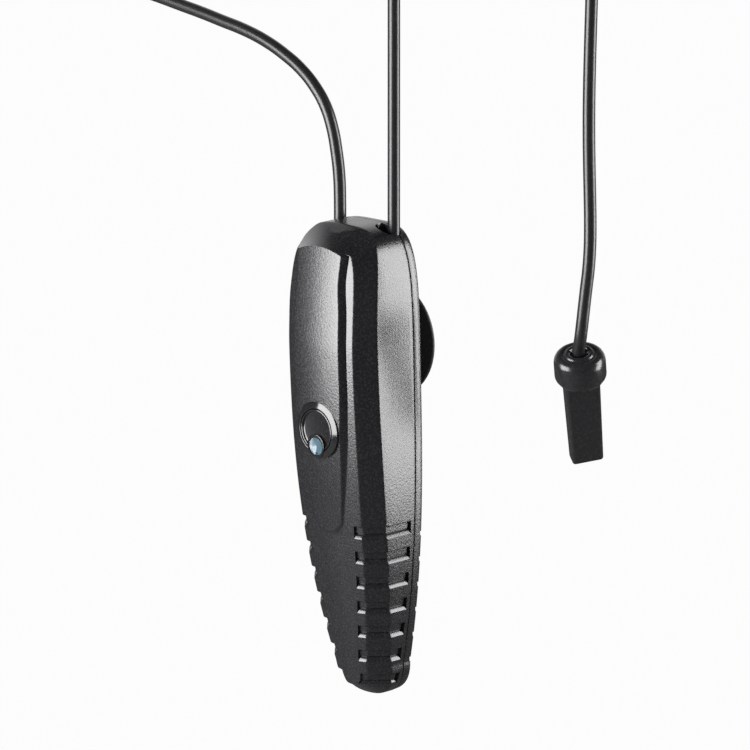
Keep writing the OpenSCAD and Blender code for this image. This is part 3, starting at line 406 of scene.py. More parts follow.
def foot_hw(z):
    """Half width of the raised panel at the foot of its edge."""
    if z < z_tip:
        return tip_foot * front_hw(z)
    if z < panel_end_z + panel_round:
        t = min(1.0, (panel_end_z + panel_round - z) / panel_round)
        return max(2.2, panel_end_hw * math.sqrt(1 - t * t))
    if z > z_arch:
        return waisted(squared(*arch_foot, z - z_arch), z)
    t = min(1.0, max(0.0, (-z - 8) / (-panel_end_z - panel_round - 8)))
    return panel_hw - (panel_hw - panel_end_hw) * t ** 1.8


def step(z):
    """How far the panel stands out of the front face."""
    if z < panel_end_z:
        return 0.0
    return step_end + (step_h - step_end) * min(
        1.0, (z - panel_end_z) / (panel_full_z - panel_end_z))


def head_hw(z):
    """Half width of the raised panel's face."""
    if z > z_arch:
        return waisted(squared(*arch_head, z - z_arch), z)
    if z < z_tip:
        return tip_head * front_hw(z)
    return foot_hw(z) - max(step(z), 0.6)


def panel_y(x, z, edge_step):
    """Depth of the panel's face; its lower end is a round-ended slope."""
    if panel_end_z - 1 < z < panel_end_z + panel_round:
        ratio = math.hypot(x / panel_end_hw, (panel_end_z + panel_round - z) / panel_round)
        edge_step *= min(1.0, max(0.0, (1 - ratio) * 5.6 / 0.6))
    return crown_y(x, z) - edge_step


def eased(before, corner, after, radius, count):
    """A corner of a section, rounded over that radius with count points."""
    a = corner + (before - corner).normalized() * min(radius, (before - corner).length * 0.45)
    b = corner + (after - corner).normalized() * min(radius, (after - corner).length * 0.45)
    return [a.lerp(corner, s).lerp(corner.lerp(b, s), s)
            for s in (i / (count - 1) for i in range(count))]


def between(a, b, count):
    """count points strictly between a and b."""
    return [a.lerp(b, (i + 1) / (count + 1)) for i in range(count)]


def shell_section(outline, bevel_end, panel_foot, panel_head, face, sink=0.0):
    """Points from the seam to the middle of the panel, through four pairs of x and z. face gives
    the panel's depth at x, and sink is the depth of a groove here."""
    (ox, oz), (fx, fz), (px, pz), (hx, hz) = outline, bevel_end, panel_foot, panel_head
    seam, edge = Vector((ox, seam_y, oz)), Vector((ox, bevel_y(oz), oz))
    front, foot = Vector((fx, shelf_y(fz), fz)), Vector((px, crown_y(px, pz), pz))
    head = Vector((hx, face(hx), hz))
    seam_round = (Vector((seam.x - 0.22, seam.y, seam.z)),
                  Vector((seam.x - 0.05, seam.y - 0.12, seam.z)))
    groove_end = seam.lerp(edge, 1.4 / max(1.5, seam.y - edge.y))
    sunk_end = groove_end - Vector((sink, 0, 0))
    sunk_edge = edge + Vector((-sink, mitre * sink, 0))
    sunk_front = front + Vector((-mitre * sink, sink, 0))
    reach_x = front.x - 0.5 * min(5.2, max(0.6, front.x - 1.5))
    reach = Vector((reach_x, crown_y(reach_x, front.z), front.lerp(foot, 0.5).z))
    sunk_reach = reach + Vector((0, sink, 0))
    points = [*seam_round, seam.lerp(groove_end, 0.3), groove_end, sunk_end]
    points += between(sunk_end, sunk_edge, 2)
    points += eased(sunk_end, sunk_edge, sunk_front, edge_round, 5)
    points += between(sunk_edge, sunk_front, 3)
    points += eased(sunk_edge, sunk_front, sunk_reach, edge_round, 5)
    points += [sunk_front.lerp(sunk_reach, 0.55), sunk_reach, reach, reach.lerp(foot, 0.6)]
    points += eased(reach, foot, head, 0.3, 4)
    inner = Vector((head.x * 0.9, face(head.x * 0.9), head.z))
    points += eased(foot, head, inner, edge_round, 5)
    for i in range(1, panel_columns + 1):
        x = head.x * (0.93 - 0.93 * i / panel_columns)
        points.append(Vector((x, face(x), head.z)))
    return points


def shell_rows():
    """Heights of the straight rows from the tip to the arch, and how deep a groove is there."""
    rows = []
    for k in range(groove_n):
        top = -(groove_from + k * groove_pitch) + groove_h / 2
        foot = top - groove_h
        rows += [(top + 0.4, 0), (top + 0.34, 0), (top + 0.2, 0.05), (top + 0.08, 0.16),
                 (top, 0.34), (top - 0.05, groove_d), (top - groove_h / 2, groove_d),
                 (foot + 0.3, groove_d), (foot + 0.05, groove_d + 0.18),
                 (foot - 0.05, groove_d + 0.02), (foot - lip_h / 2, groove_d * 0.42),
                 (max(foot - lip_h, low_row + 0.05), 0)]
        if k < groove_n - 1:
            rows += [(foot - lip_h - 0.4 - 0.65 * i, 0) for i in range(5)]
    z = rows[0][0] + 0.4
    while z < high_row:
        rows.append((z, 0))
        z += 0.4 if z < panel_end_z + panel_round + 1 else 1.0
    rows += [(high_row, 0), (low_row, 0)]
    return sorted(rows)


def oval_radius(a, half_width, height, power):
    """How far an oval reaches from its middle at an angle."""
    return (abs(math.cos(a) / half_width) ** power
            + abs(math.sin(a) / height) ** power) ** (-1 / power)


def oval_point(half_width, height, power, start, share):
    """A point of an oval, from where its height is start on to its end on the axis."""
    x0 = squared(half_width, height, power, start)
    a = math.atan2(start, x0)
    a += (math.pi / 2 - a) * share
    r = oval_radius(a, half_width, height, power)
    return (r * math.cos(a) if share < 1 else 0.0), r * math.sin(a)


def shell_half():
    """The right half of the shell's outer face: rows of points from the tip to the top."""
    half = []
    for i in range(cap_rows, 0, -1):
        (ox, oz), (fx, fz) = (oval_point(*oval, z_tip - low_row, i / cap_rows)
                              for oval in (tip_outline, tip_front))
        oz, fz = z_tip - oz, z_tip - fz
        pz, hz = (low_row + (fz - low_row) * part for part in (0.6, 0.4))
        half.append(shell_section(
            (ox, oz), (fx, fz), (tip_foot * fx, pz), (tip_head * fx, hz),
            lambda x, z=hz: crown_y(x, z)))
    for z, sink in shell_rows():
        half.append(shell_section(
            (outline_hw(z), z), (front_hw(z), z), (foot_hw(z), z), (head_hw(z), z),
            lambda x, z=z: panel_y(x, z, step(z)), sink))
    for i in range(1, arch_rows + 1):
        (ox, oz), (fx, fz), (px, pz), (hx, hz) = (
            oval_point(*oval, high_row - z_arch, i / arch_rows)
            for oval in (arch_outline, arch_front, arch_foot, arch_head))
        oz, fz, pz, hz = (z_arch + z for z in (oz, fz, pz, hz))
        half.append(shell_section(
            (ox, oz), (fx, fz), (waisted(px, pz), pz), (waisted(hx, hz), hz),
            lambda x, z=hz: crown_y(x, z) - step_h))
    return half


def tool_piece(maker, matrix, name="tool"):
    """An object from a bmesh, set in place by a matrix: a cutter or filler for the next join."""
    mesh = bpy.data.meshes.new(name)
    maker.to_mesh(mesh)
    maker.free()
    mesh.transform(matrix)
    return placed(name, mesh)


def resharpened(piece, angle):
    """A piece shaded smooth but for edges sharper than angle."""
    piece.data.shade_smooth()
    piece.data.set_sharp_from_angle(angle=math.radians(angle))
    return piece


def finished(name, maker, smooth_angle, matrix):
    """A named piece from a bmesh, in place and shaded."""
    return resharpened(tool_piece(maker, matrix, name), smooth_angle)


def gridded(maker, rows, inwards=False):
    """Faces over rows of points with as many points each."""
    for low, high in zip(rows, rows[1:]):
        for a, b, c, d in zip(low, low[1:], high[1:], high):
            maker.faces.new((a, d, c, b) if inwards else (a, b, c, d))


def slab(top, foot):
    """A solid between two grids of points, each a list of rows."""
    maker = bmesh.new()
    top_rows, foot_rows = ([[maker.verts.new(p) for p in row] for row in grid]
                           for grid in (top, foot))
    gridded(maker, top_rows)
    gridded(maker, foot_rows, inwards=True)
    for side in (0, -1):
        gridded(maker, [[row[side] for row in rows] for rows in (top_rows, foot_rows)])
        gridded(maker, [top_rows[side], foot_rows[side]])
    bmesh.ops.recalc_face_normals(maker, faces=maker.faces)
    return maker


inner_squeeze = 0.92


def shell_mesh():
    """The shell as a wall: the outer face with its grooves and a plain inner face."""
    half = shell_half()
    maker = bmesh.new()
    rows = []
    for points in half:
        right = [maker.verts.new(p) for p in points]
        left = [maker.verts.new((-p.x, p.y, p.z)) for p in reversed(points[:-1])]
        rows.append(right + left)
    gridded(maker, rows, inwards=True)
    # inner face: the seam, the edge, the front and five points across it
    inner = []
    for points in half:
        seam, front = points[0], points[-panel_columns - 14]
        width = max(0.0, points[2].x - wall)
        edge_depth = points[9].y + 0.4 * wall
        ends = [Vector((width, seam_y, seam.z)), Vector((width, edge_depth, seam.z)),
                Vector((max(0.0, front.x - 1.2), front.y + wall, front.z))]
        ends += [Vector((ends[2].x * part, points[-1].y + wall + 0.6 * part, points[-1].z))
                 for part in (0.66, 0.33, 0)]
        side = 0.0 if points[2].x < 1e-6 else 1.0
        right = [maker.verts.new((p.x * side, p.y, p.z * inner_squeeze)) for p in ends]
        left = [maker.verts.new((-p.x * side, p.y, p.z * inner_squeeze))
                for p in reversed(ends[:-1])]
        inner.append(right + left)
    gridded(maker, inner)
    for low, high, low_in, high_in in zip(rows, rows[1:], inner, inner[1:]):
        maker.faces.new((low[0], low_in[0], high_in[0], high[0]))
        maker.faces.new((low[-1], high[-1], high_in[-1], low_in[-1]))
    bmesh.ops.remove_doubles(maker, verts=maker.verts, dist=0.004)
    bmesh.ops.dissolve_degenerate(maker, edges=maker.edges, dist=0.002)
    bmesh.ops.recalc_face_normals(maker, faces=maker.faces)
    return maker


def turned_mesh(profile, segments=96):
    """A solid turned about Z from a profile of (radius, height) points."""
    maker = bmesh.new()
    rings = []
    for radius, height in profile:
        if radius < 1e-6:
            rings.append([maker.verts.new((0, 0, height))])
        else:
            rings.append([maker.verts.new((radius * math.cos(a), radius * math.sin(a), height))
                          for a in (2 * math.pi * k / segments for k in range(segments))])
    pairs = list(zip(rings, rings[1:]))
    if len(rings[0]) > 1 and len(rings[-1]) > 1:
        pairs.append((rings[-1], rings[0]))
    for low, high in pairs:
        for k in range(segments):
            j = (k + 1) % segments
            corners = list(dict.fromkeys([low[k % len(low)], low[j % len(low)],
                                          high[j % len(high)], high[k % len(high)]]))
            if len(corners) > 2:
                maker.faces.new(corners)
    bmesh.ops.recalc_face_normals(maker, faces=maker.faces)
    return maker


# turns a piece made about Z so that its height runs forwards, out of the housing's front
forwards = Matrix.Rotation(math.radians(90), 4, "X")


def drum(radius, low, high, segments=64):
    """A round bar about Z between two heights."""
    return turned_mesh([(0, low), (radius, low), (radius, high), (0, high)], segments)


def rod_tool(x, z, y_back, y_front, radius, segments=64):
    """A round bar through the housing from back to front, at a place of its face."""
    return tool_piece(drum(radius, -y_back, -y_front, segments),
                      housing_frame @ Matrix.Translation((x, 0, z)) @ forwards)


def block_tool(low, high):
    """A block between two corners, in the housing's frame."""
    maker = bmesh.new()
    bmesh.ops.create_cube(maker, size=1)
    for vert in maker.verts:
        vert.co = [(l + h) / 2 + c * (h - l) for l, h, c in zip(low, high, vert.co)]
    return tool_piece(maker, housing_frame)


def joined(piece, tools, operation="DIFFERENCE"):
    """Cuts the tools from a piece, or adds them, and removes them."""
    for tool in tools:
        change = piece.modifiers.new("join", "BOOLEAN")
        change.operation = operation
        change.solver = "EXACT"
        change.object = tool
        bpy.context.view_layer.update()
        made = bpy.data.meshes.new_from_object(
            piece.evaluated_get(bpy.context.evaluated_depsgraph_get()))
        piece.modifiers.clear()
        piece.data = made
        bpy.data.objects.remove(tool)
    return piece


passage_r = 2.0
passage_foot = 17.8
above_top = rise + 8
cord_y = seam_y - 0.2


def passage_tool(side):
    """The round passage of the lead on that side, down through the seam."""
    return tool_piece(drum(passage_r, passage_foot, above_top, 48),
                      housing_frame @ Matrix.Translation((side * cord_x, cord_y, 0)))


panel_front_y = crown_y(0, dial_z) - step(dial_z)
bezel_r = 8.1
satin_black = moulded("satin_black_plastic", (0.019, 0.019, 0.022), (0.041, 0.041, 0.045), 0.26,
                      speck_share=0.8, speck_scale=1780.0, patch_spread=0.06, bump=0.8,
                      depth=0.022, ior=1.62)
front_shell = finished("front_shell_skin", shell_mesh(), 24, housing_frame)
joined(front_shell, [rod_tool(0, dial_z, panel_front_y + 1, panel_front_y - 4, bezel_r + 0.05, 96),
                     rod_tool(0, dial_z, panel_front_y + 6, panel_front_y - 4, bezel_r - 0.9, 96)])
# the top is cut off by a dome, which leaves an arched crease above the panel and the shelf
dome_crease = 30.6
dome_y = -28.9
dome_round = 36
dome_slope = 0.27
dome_curl = 0.032
dome_lid_z = 60
dome = []
for x in range(-24, 25):
    dome.append([])
    fall = x * x / (dome_round + 0.5 * abs(x))
    for back_from in range(-4, 21):
        z = dome_crease - fall + dome_slope * back_from + dome_curl * abs(back_from) * back_from
        dome[-1].append((x, back_from + dome_y, z))
dome_lid = [[(x, y, dome_lid_z) for x, y, z in row] for row in dome]
joined(front_shell, [tool_piece(slab(dome, dome_lid), housing_frame)])
# each lead has its passage, and in front of it a round scoop in the top
scoop_section = [(0, rise - 2.5), (1.9, rise - 2.5), (2.6, rise - 2.3), (3.1, rise - 1.8),
                 (3.5, rise - 1), (3.7, rise), (3.7, above_top), (0, above_top)]
for side in (-1, 1):
    scoop = tool_piece(turned_mesh(scoop_section, 64), housing_frame @ Matrix.Translation(
        (side * (cord_x - 0.8), cord_y - 1.2, 0)))
    before_seam = block_tool((-20, seam_y - 12, 0), (20, seam_y - 0.4, 60))
    joined(front_shell, [passage_tool(side), joined(scoop, [before_seam], "INTERSECT")])
resharpened(front_shell, 24)
painted(front_shell, satin_black)
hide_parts("front_shell")
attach(front_shell, "housing")

# -------------------- rear cover
# Satin black moulding behind the seam. Its rim carries the gasket's groove and a lip inside
# the shell, its back has four screw seats and the cup's keyhole, and the small notches along
# its back edge lie in line with the grip grooves.
boss_r = 2.7
slip = 0.3
plate_t = 1.8
chamber_y = -(stand_off + 1.6)
chamber_t = 2.95
keyhole_drop = 8.5
notch_drop = 3.2
screw_z = -34.0
screw_x = side_hw(screw_z) - wall - 1.1 - 2 * slip - boss_r
screw_places = ((0, rise - 8.5), (screw_x, screw_z), (-screw_x, screw_z), (0, 14 - drop))
outline_steps = 44


def outline_loop(inset):
    """The housing's outline, drawn in by inset: up the right side and down the left."""
    half = [(x, z_tip - z) for x, z in (
        oval_point(tip_w / 2 - inset, drop + z_tip - inset, tip_n, 0, 1 - i / outline_steps)
        for i in range(outline_steps))]
    half += [(side_hw(z) - inset, z) for z in (
        z_tip + (z_arch - z_tip) * i / outline_steps for i in range(outline_steps))]
    half += [(x, z_arch + z) for x, z in (
        oval_point(body_w / 2 - inset, rise - z_arch - inset, arch_n, 0, i / outline_steps)
        for i in range(outline_steps + 1))]
    return half + [(-x, z) for x, z in reversed(half[1:-1])]


def lofted(rings):
    """A solid through rings with as many points each, closed across its first and last."""
    maker = bmesh.new()
    loops = [[maker.verts.new(p) for p in ring] for ring in rings]
    gridded(maker, [loop + loop[:1] for loop in loops])
    maker.faces.new(loops[0])
    maker.faces.new(loops[-1])
    bmesh.ops.recalc_face_normals(maker, faces=maker.faces)
    return maker


back = -stand_off
cover_section = [
    (7, back), (0.8, back), (0.5, back - 0.07), (0.3, back - 0.26), (0.22, back - 0.6),
    (0.02, seam_y + 0.4), (0.08, seam_y + 0.2), (0.34, seam_y + 0.02), (0.42, seam_y),
    (0.42, seam_y + 0.7), (1.5, seam_y + 0.7), (1.5, seam_y), (2.2, seam_y), (2.2, seam_y - 1.5),
    (3.3, seam_y - 1.5), (3.3, seam_y + cover_t - plate_t), (7, seam_y + cover_t - plate_t)]
rear_cover = finished("rear_cover_skin", lofted([
    [(x, y, z) for x, z in outline_loop(inset)] for inset, y in cover_section]),
    30, housing_frame)
joined(rear_cover, [rod_tool(x, z, seam_y - 0.01, seam_y - 2, boss_r + slip)
                    for x, z in screw_places])
joined(rear_cover, [rod_tool(x, z, back - 0.5, seam_y, boss_r + 0.6) for x, z in screw_places],
       "UNION")
joined(rear_cover, [rod_tool(0, z, back - 0.5, chamber_y - chamber_t - 1.3, 8.3)
                    for z in (0, -keyhole_drop)], "UNION")
joined(rear_cover, [rod_tool(x, z, 2, seam_y - 2, 1.2 + slip) for x, z in screw_places])
joined(rear_cover, [rod_tool(x, z, 2, back - 1.55, 2.4 + slip) for x, z in screw_places])
joined(rear_cover, [
    rod_tool(0, 0, 2, chamber_y - 1, 3.3),
    block_tool((-3.3, chamber_y - 1, -keyhole_drop), (3.3, 2, 0)),
    rod_tool(0, -keyhole_drop, 2, chamber_y - 1, 4.8),
    rod_tool(0, 0, chamber_y, chamber_y - chamber_t, 5),
    rod_tool(0, -keyhole_drop, chamber_y, chamber_y - chamber_t, 5),
    block_tool((-5, chamber_y - chamber_t, -keyhole_drop), (5, chamber_y, 0))])
notch_turn = Matrix.Rotation(math.radians(45), 4, "Z")
notch_size = Matrix.Diagonal((2, 2, 1.4, 1))
for side in (-1, 1):
    joined(rear_cover, [passage_tool(side)])
    for k in range(groove_n - 1):
        z = -(groove_from + k * groove_pitch) - notch_drop
        at = Matrix.Translation((side * (side_hw(z) + 0.5), back, z))
        notch = bmesh.new()
        bmesh.ops.create_cube(notch, size=1)
        joined(rear_cover, [tool_piece(notch, housing_frame @ at @ notch_turn @ notch_size)])
resharpened(rear_cover, 30)
painted(rear_cover, satin_black)
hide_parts("rear_cover")
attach(rear_cover, "housing")

# -------------------- dial
# Gloss black bezel pressed into the panel, its face sloping outwards, and a dished knob in it
# with a thin raised rim. A tab of the knob reaches over the bezel and holds the pointer, a
# pale blue lens with a shallow valley down its middle.
gloss_black = moulded("gloss_black_plastic", (0.024, 0.024, 0.026), (0.032, 0.032, 0.034), 0.12,
                      patch_spread=0.05, bump=0.02, depth=0.01, ior=1.6)
lens_blue = moulded("blue_lens_plastic", (0.17, 0.30, 0.38), (0.22, 0.37, 0.46), 0.16,
                    speck_scale=700.0, patch_spread=0.05, bump=0.02, depth=0.01)
dial_frame = housing_frame @ Matrix.Translation((0, 0, dial_z)) @ forwards
face_h = -panel_front_y
bezel_h = face_h + 0.62
rim_h = face_h + 0.6
knob_r = 6.0
stem_r = 3.9
bezel_section = [
    (4.2, face_h - 3.6), (bezel_r - 0.95, face_h - 3.6), (bezel_r - 0.95, face_h - 0.95),
    (bezel_r, face_h - 0.95), (bezel_r, face_h - 0.02), (bezel_r - 0.04, face_h + 0.06),
    (bezel_r - 0.14, face_h + 0.12), (bezel_r - 0.22, face_h + 0.155),
    (knob_r + 0.66, bezel_h - 0.045), (knob_r + 0.6, bezel_h - 0.02), (knob_r + 0.48, bezel_h),
    (knob_r + 0.36, bezel_h - 0.02), (knob_r + 0.26, bezel_h - 0.1), (knob_r + 0.2, bezel_h - 0.24),
    (knob_r + 0.2, face_h - 2.6), (4.2, face_h - 2.6)]
bezel = finished("dial_bezel_skin", turned_mesh(bezel_section, 128), 30, dial_frame)
painted(bezel, gloss_black)
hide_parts("dial_bezel")
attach(bezel, "housing")

knob_section = [
    (3.05, face_h - 5.72), (stem_r, face_h - 5.72), (stem_r, face_h - 2.1),
    (knob_r - 0.2, face_h - 2.1), (knob_r, face_h - 1.9), (knob_r, rim_h - 0.16),
    (knob_r - 0.05, rim_h - 0.05), (knob_r - 0.16, rim_h), (knob_r - 0.36, rim_h),
    (knob_r - 0.46, rim_h - 0.04), (knob_r - 0.55, rim_h - 0.16), (knob_r - 0.66, rim_h - 0.42),
    (knob_r - 0.78, rim_h - 0.5), (knob_r - 1.0, rim_h - 0.53), (knob_r - 1.12, rim_h - 0.535),
    (0.8, rim_h - 0.56), (0, rim_h - 0.56), (0, rim_h - 1.95), (3.05, rim_h - 1.95)]
knob = finished("dial_knob_skin", turned_mesh(knob_section, 128), 30, dial_frame)
pointer_at = 4.45
tab_r = 3.3
tab_at = 4.35
tab_h = face_h + 0.92
lower = Matrix.Translation((0, -tab_at, 0))
filler = tool_piece(drum(tab_r - 0.05, rim_h - 1.2, tab_h - 0.2, 96), dial_frame @ lower)
within = tool_piece(drum(knob_r - 0.1, face_h - 1.5, tab_h, 96), dial_frame)
tab = turned_mesh([(0, face_h + 0.68), (tab_r - 0.03, face_h + 0.68), (tab_r, face_h + 0.72),
                   (tab_r - 0.03, tab_h - 0.06), (tab_r - 0.1, tab_h - 0.01),
                   (tab_r - 0.16, tab_h), (tab_r - 0.24, tab_h), (0, tab_h)])
joined(knob, [joined(filler, [within], "INTERSECT"), tool_piece(tab, dial_frame @ lower)], "UNION")


pointer_n = 2.3
oval_segments = 64


def oval_loop(half_width, half_height, height):
    """An oval ring at that height, centred on the pointer."""
    ring = []
    for k in range(oval_segments):
        a = 2 * math.pi * k / oval_segments
        r = oval_radius(a, half_width, half_height, pointer_n)
        ring.append((r * math.cos(a), -pointer_at + r * math.sin(a), height))
    return ring


pointer_w = 5.2
pointer_l = 4.8
pocket = lofted([oval_loop(pointer_w / 2 + 0.05, pointer_l / 2 + 0.05, height)
                 for height in (tab_h - 0.75, tab_h + 1)])
joined(knob, [tool_piece(pocket, dial_frame)])
resharpened(knob, 30)
painted(knob, gloss_black)
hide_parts("dial_knob")
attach(knob, "dial")

valley = 0.15
lens_rows = 24
across = (-1, -0.96, -0.8, -0.4, 0, 0.4, 0.8, 0.96, 1)
rim_fall = {1: 0.16, 0.96: 0.03}
foot_h = tab_h - 0.74
lens_top = []
for i in range(lens_rows + 1):
    y = -math.cos(math.pi * i / lens_rows) * pointer_l / 2
    half = max(0.02, squared(pointer_w / 2, pointer_l / 2, pointer_n, abs(y)))
    edge = max(0.0, 1 - abs(y) / (pointer_l / 2)) ** 0.5
    heights = [tab_h - 0.12 - rim_fall.get(abs(part), 0)
               - valley * (pointer_w / 2 - abs(part) * half) * (0.4 + 0.6 * edge)
               for part in across]
    lens_top.append([(part * half, y - pointer_at, h) for part, h in zip(across, heights)])
lens_foot = [[(x, y, foot_h) for x, y, h in row] for row in lens_top]
pointer = finished("pointer_lens", slab(lens_top, lens_foot), 14, dial_frame)
painted(pointer, lens_blue)
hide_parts("knob_pointer")
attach(pointer, "dial")

# -------------------- suction cup
# One moulding in matt black rubber: a flat lip on the glass, a thin dished skirt, a neck and a
# head that is held in the cover's keyhole.
matt_rubber = moulded("matt_black_rubber", (0.055, 0.055, 0.058), (0.085, 0.085, 0.088), 0.55,
                      speck_scale=1300.0, patch_spread=0.16, bump=0.25, depth=0.03)
cup_r = 16.0
head_back = stand_off + 1.9
cup_section = [
    (0, 0), (2.3, 0), (2.6, 0.1), (3.0, 0.9), (3.3, 1.1), (9.4, 1.1), (10.4, 0.5), (10.9, 0.05),
    (11.2, 0), (cup_r - 0.1, 0), (cup_r + 0.12, 0.1), (cup_r + 0.2, 0.3), (cup_r + 0.15, 0.6),
    (cup_r, 0.9), (cup_r - 0.3, 1.04), (cup_r - 1.6, 1.5), (cup_r - 2.8, 1.97), (cup_r - 4, 2.5),
    (cup_r - 5.5, 3.22), (cup_r - 7, 4), (cup_r - 8.4, 4.75), (cup_r - 9.6, 5.35),
    (cup_r - 10.4, 5.58), (cup_r - 11.2, 5.66), (4.35, 5.95), (4.2, 6.15), (3.5, 6.3), (3.1, 6.42),
    (3, 6.6), (3, head_back), (4.3, head_back), (4.5, head_back + 0.15), (4.5, head_back + 1.5),
    (4.2, head_back + 1.9), (3.6, head_back + 2.2), (0, head_back + 2.2)]
cup = finished("suction_cup_skin", turned_mesh(cup_section, 128), 40,
               Matrix.Scale(MM, 4) @ forwards)
painted(cup, matt_rubber)
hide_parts("suction_cup")
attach(cup, "cup")

# -------------------- plug and straps
# A round low-voltage plug in matt black moulding with a ribbed strain relief; a nickel barrel
# with an insulator and a contact tube in it. A rubber strap holds each coil at its top.
moulding = moulded("matt_black_moulding", (0.034, 0.034, 0.037), (0.058, 0.058, 0.061), 0.42,
                   speck_scale=1500.0, bump=0.3, depth=0.03, ior=1.52)
nickel = moulded("bright_nickel", (0.66, 0.64, 0.60), (0.72, 0.70, 0.66), 0.2,
                 speck_scale=800.0, bump=0.03, depth=0.01, metallic=1.0)
plug_frame = Matrix.Scale(MM, 4) @ Matrix.Translation((supply_x, tail_y, tail_foot))
relief_l = 16.0
plug_r = 5.0
plug_foot = -relief_l - 18
cord_r = cord_d / 2
relief_section = [(0, 0), (cord_r + 0.35, 0), (cord_r + 0.5, -0.12)]
rib_pitch = (relief_l - 3) / 5
for k in range(5):
    top = -1.5 - k * rib_pitch
    r = cord_r + 1.6 + k / 4
    relief_section += [
        (r - 0.12, top + 0.1), (r, top - 0.06), (r + 0.1, top - rib_pitch * 0.52),
        (r - 0.02, top - rib_pitch * 0.6), (r - 0.45, top - rib_pitch * 0.64),
        (r - 0.35, top - rib_pitch * 0.94)]
relief_section += [(cord_r + 2.5, -relief_l + 1.3), (cord_r + 2.6, -relief_l + 1.1),
                   (cord_r + 2.7, -relief_l), (0, -relief_l)]
plug_section = [
    (0, -relief_l), (plug_r - 0.6, -relief_l), (plug_r - 0.3, -relief_l - 0.14),
    (plug_r - 0.1, -relief_l - 0.5), (plug_r, -relief_l - 1.2), (plug_r, plug_foot + 0.6),
    (plug_r - 0.18, plug_foot + 0.18), (plug_r - 0.6, plug_foot), (3.25, plug_foot),
    (3.25, plug_foot + 3.95), (0, plug_foot + 3.95)]
for name, section, node in (("plug_relief_skin", relief_section, "plug_relief"),
                            ("plug_body_skin", plug_section, "plug_body")):
    piece = finished(name, turned_mesh(section), 35, plug_frame)
    painted(piece, moulding)
    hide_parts(node)
    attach(piece, "housing")

# -------------------- probe
# The sensor's end in the tank: a moulded black rubber cap with a collar round the cord, over a
# flat tapered sleeve that holds the thermistor in resin.
probe_black = moulded("glossy_black_rubber", (0.034, 0.034, 0.037), (0.050, 0.050, 0.053), 0.22,
                      speck_scale=1200.0, patch_spread=0.12, bump=0.08, ior=1.52)
probe_frame = (Matrix.Scale(MM, 4) @ Matrix.Translation(cap_top)
               @ Matrix.Rotation(probe_lean, 4, "Y") @ Matrix.Rotation(probe_tilt, 4, "X"))
cap_r = 7.25
cap_h = 10.0
sleeve_w = 10.0
sleeve_foot_w = 8.9
sleeve_t = 5.2
sleeve_foot = -cap_h - 26
sleeve_top = -5.4
sleeve_turn = math.radians(60)
sleeve_edge = 1.0


def sleeve_ring(along, width, inset):
    """The sleeve's section, a rectangle with round edges, drawn in by inset."""
    a, b, r = width / 2 - inset, sleeve_t / 2 - inset, max(0.3, sleeve_edge - inset)
    ring = []
    for sx, sy, start in ((1, 1, 0), (-1, 1, 90), (-1, -1, 180), (1, -1, 270)):
        for part in range(9):
            angle = math.radians(start + part * 11.25)
            x = sx * (a - r) + r * math.cos(angle)
            y = sy * (b - r) + r * math.sin(angle)
            ring.append((x * math.cos(sleeve_turn) - y * math.sin(sleeve_turn),
                         x * math.sin(sleeve_turn) + y * math.cos(sleeve_turn), along))
    return ring


cap_section = [
    (0, -cap_recess), (2.2, -cap_recess), (2.25, -1.1), (2.5, -0.75), (2.8, -0.25),
    (3.05, -0.06), (3.3, 0), (3.6, -0.04), (3.88, -0.2), (4.08, -0.45), (4.2, -0.68),
    (4.4, -0.78), (4.65, -0.72), (5.0, -0.6), (5.5, -0.58), (6.0, -0.74), (6.4, -1.04),
    (6.75, -1.45), (7.0, -1.95), (7.15, -2.5), (7.23, -3.1), (cap_r, -3.8), (cap_r, -7.3),
    (7.2, -7.7), (7.03, -8.2), (6.7, -8.7), (6.2, -9.4), (5.95, -9.8), (5.7, -cap_h),
    (0, -cap_h)]
cap = finished("probe_cap_skin", turned_mesh(cap_section, 128), 40, probe_frame)
socket = lofted([sleeve_ring(height, sleeve_w, -0.05)
                 for height in (-cap_h - 2, sleeve_top + 0.05)])
joined(cap, [tool_piece(socket, probe_frame)])
resharpened(cap, 40)
# from the foot of the bore up it, over the sleeve's top and down its outside
sleeve = finished("probe_sleeve_skin", lofted([sleeve_ring(*ring) for ring in (
    (sleeve_foot + 1.5, sleeve_foot_w, 0.9), (sleeve_top, sleeve_foot_w, 0.9),
    (sleeve_top, sleeve_w, 0), (-cap_h, sleeve_w, 0),
    (sleeve_foot + 0.7, sleeve_foot_w, 0), (sleeve_foot + 0.3, sleeve_foot_w, 0.1),
    (sleeve_foot + 0.08, sleeve_foot_w, 0.32), (sleeve_foot, sleeve_foot_w, 0.7))]),
    35, probe_frame)
for piece, node in ((cap, "probe_cap"), (sleeve, "probe_sleeve")):
    painted(piece, probe_black)
    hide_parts(node)
    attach(piece, "housing")

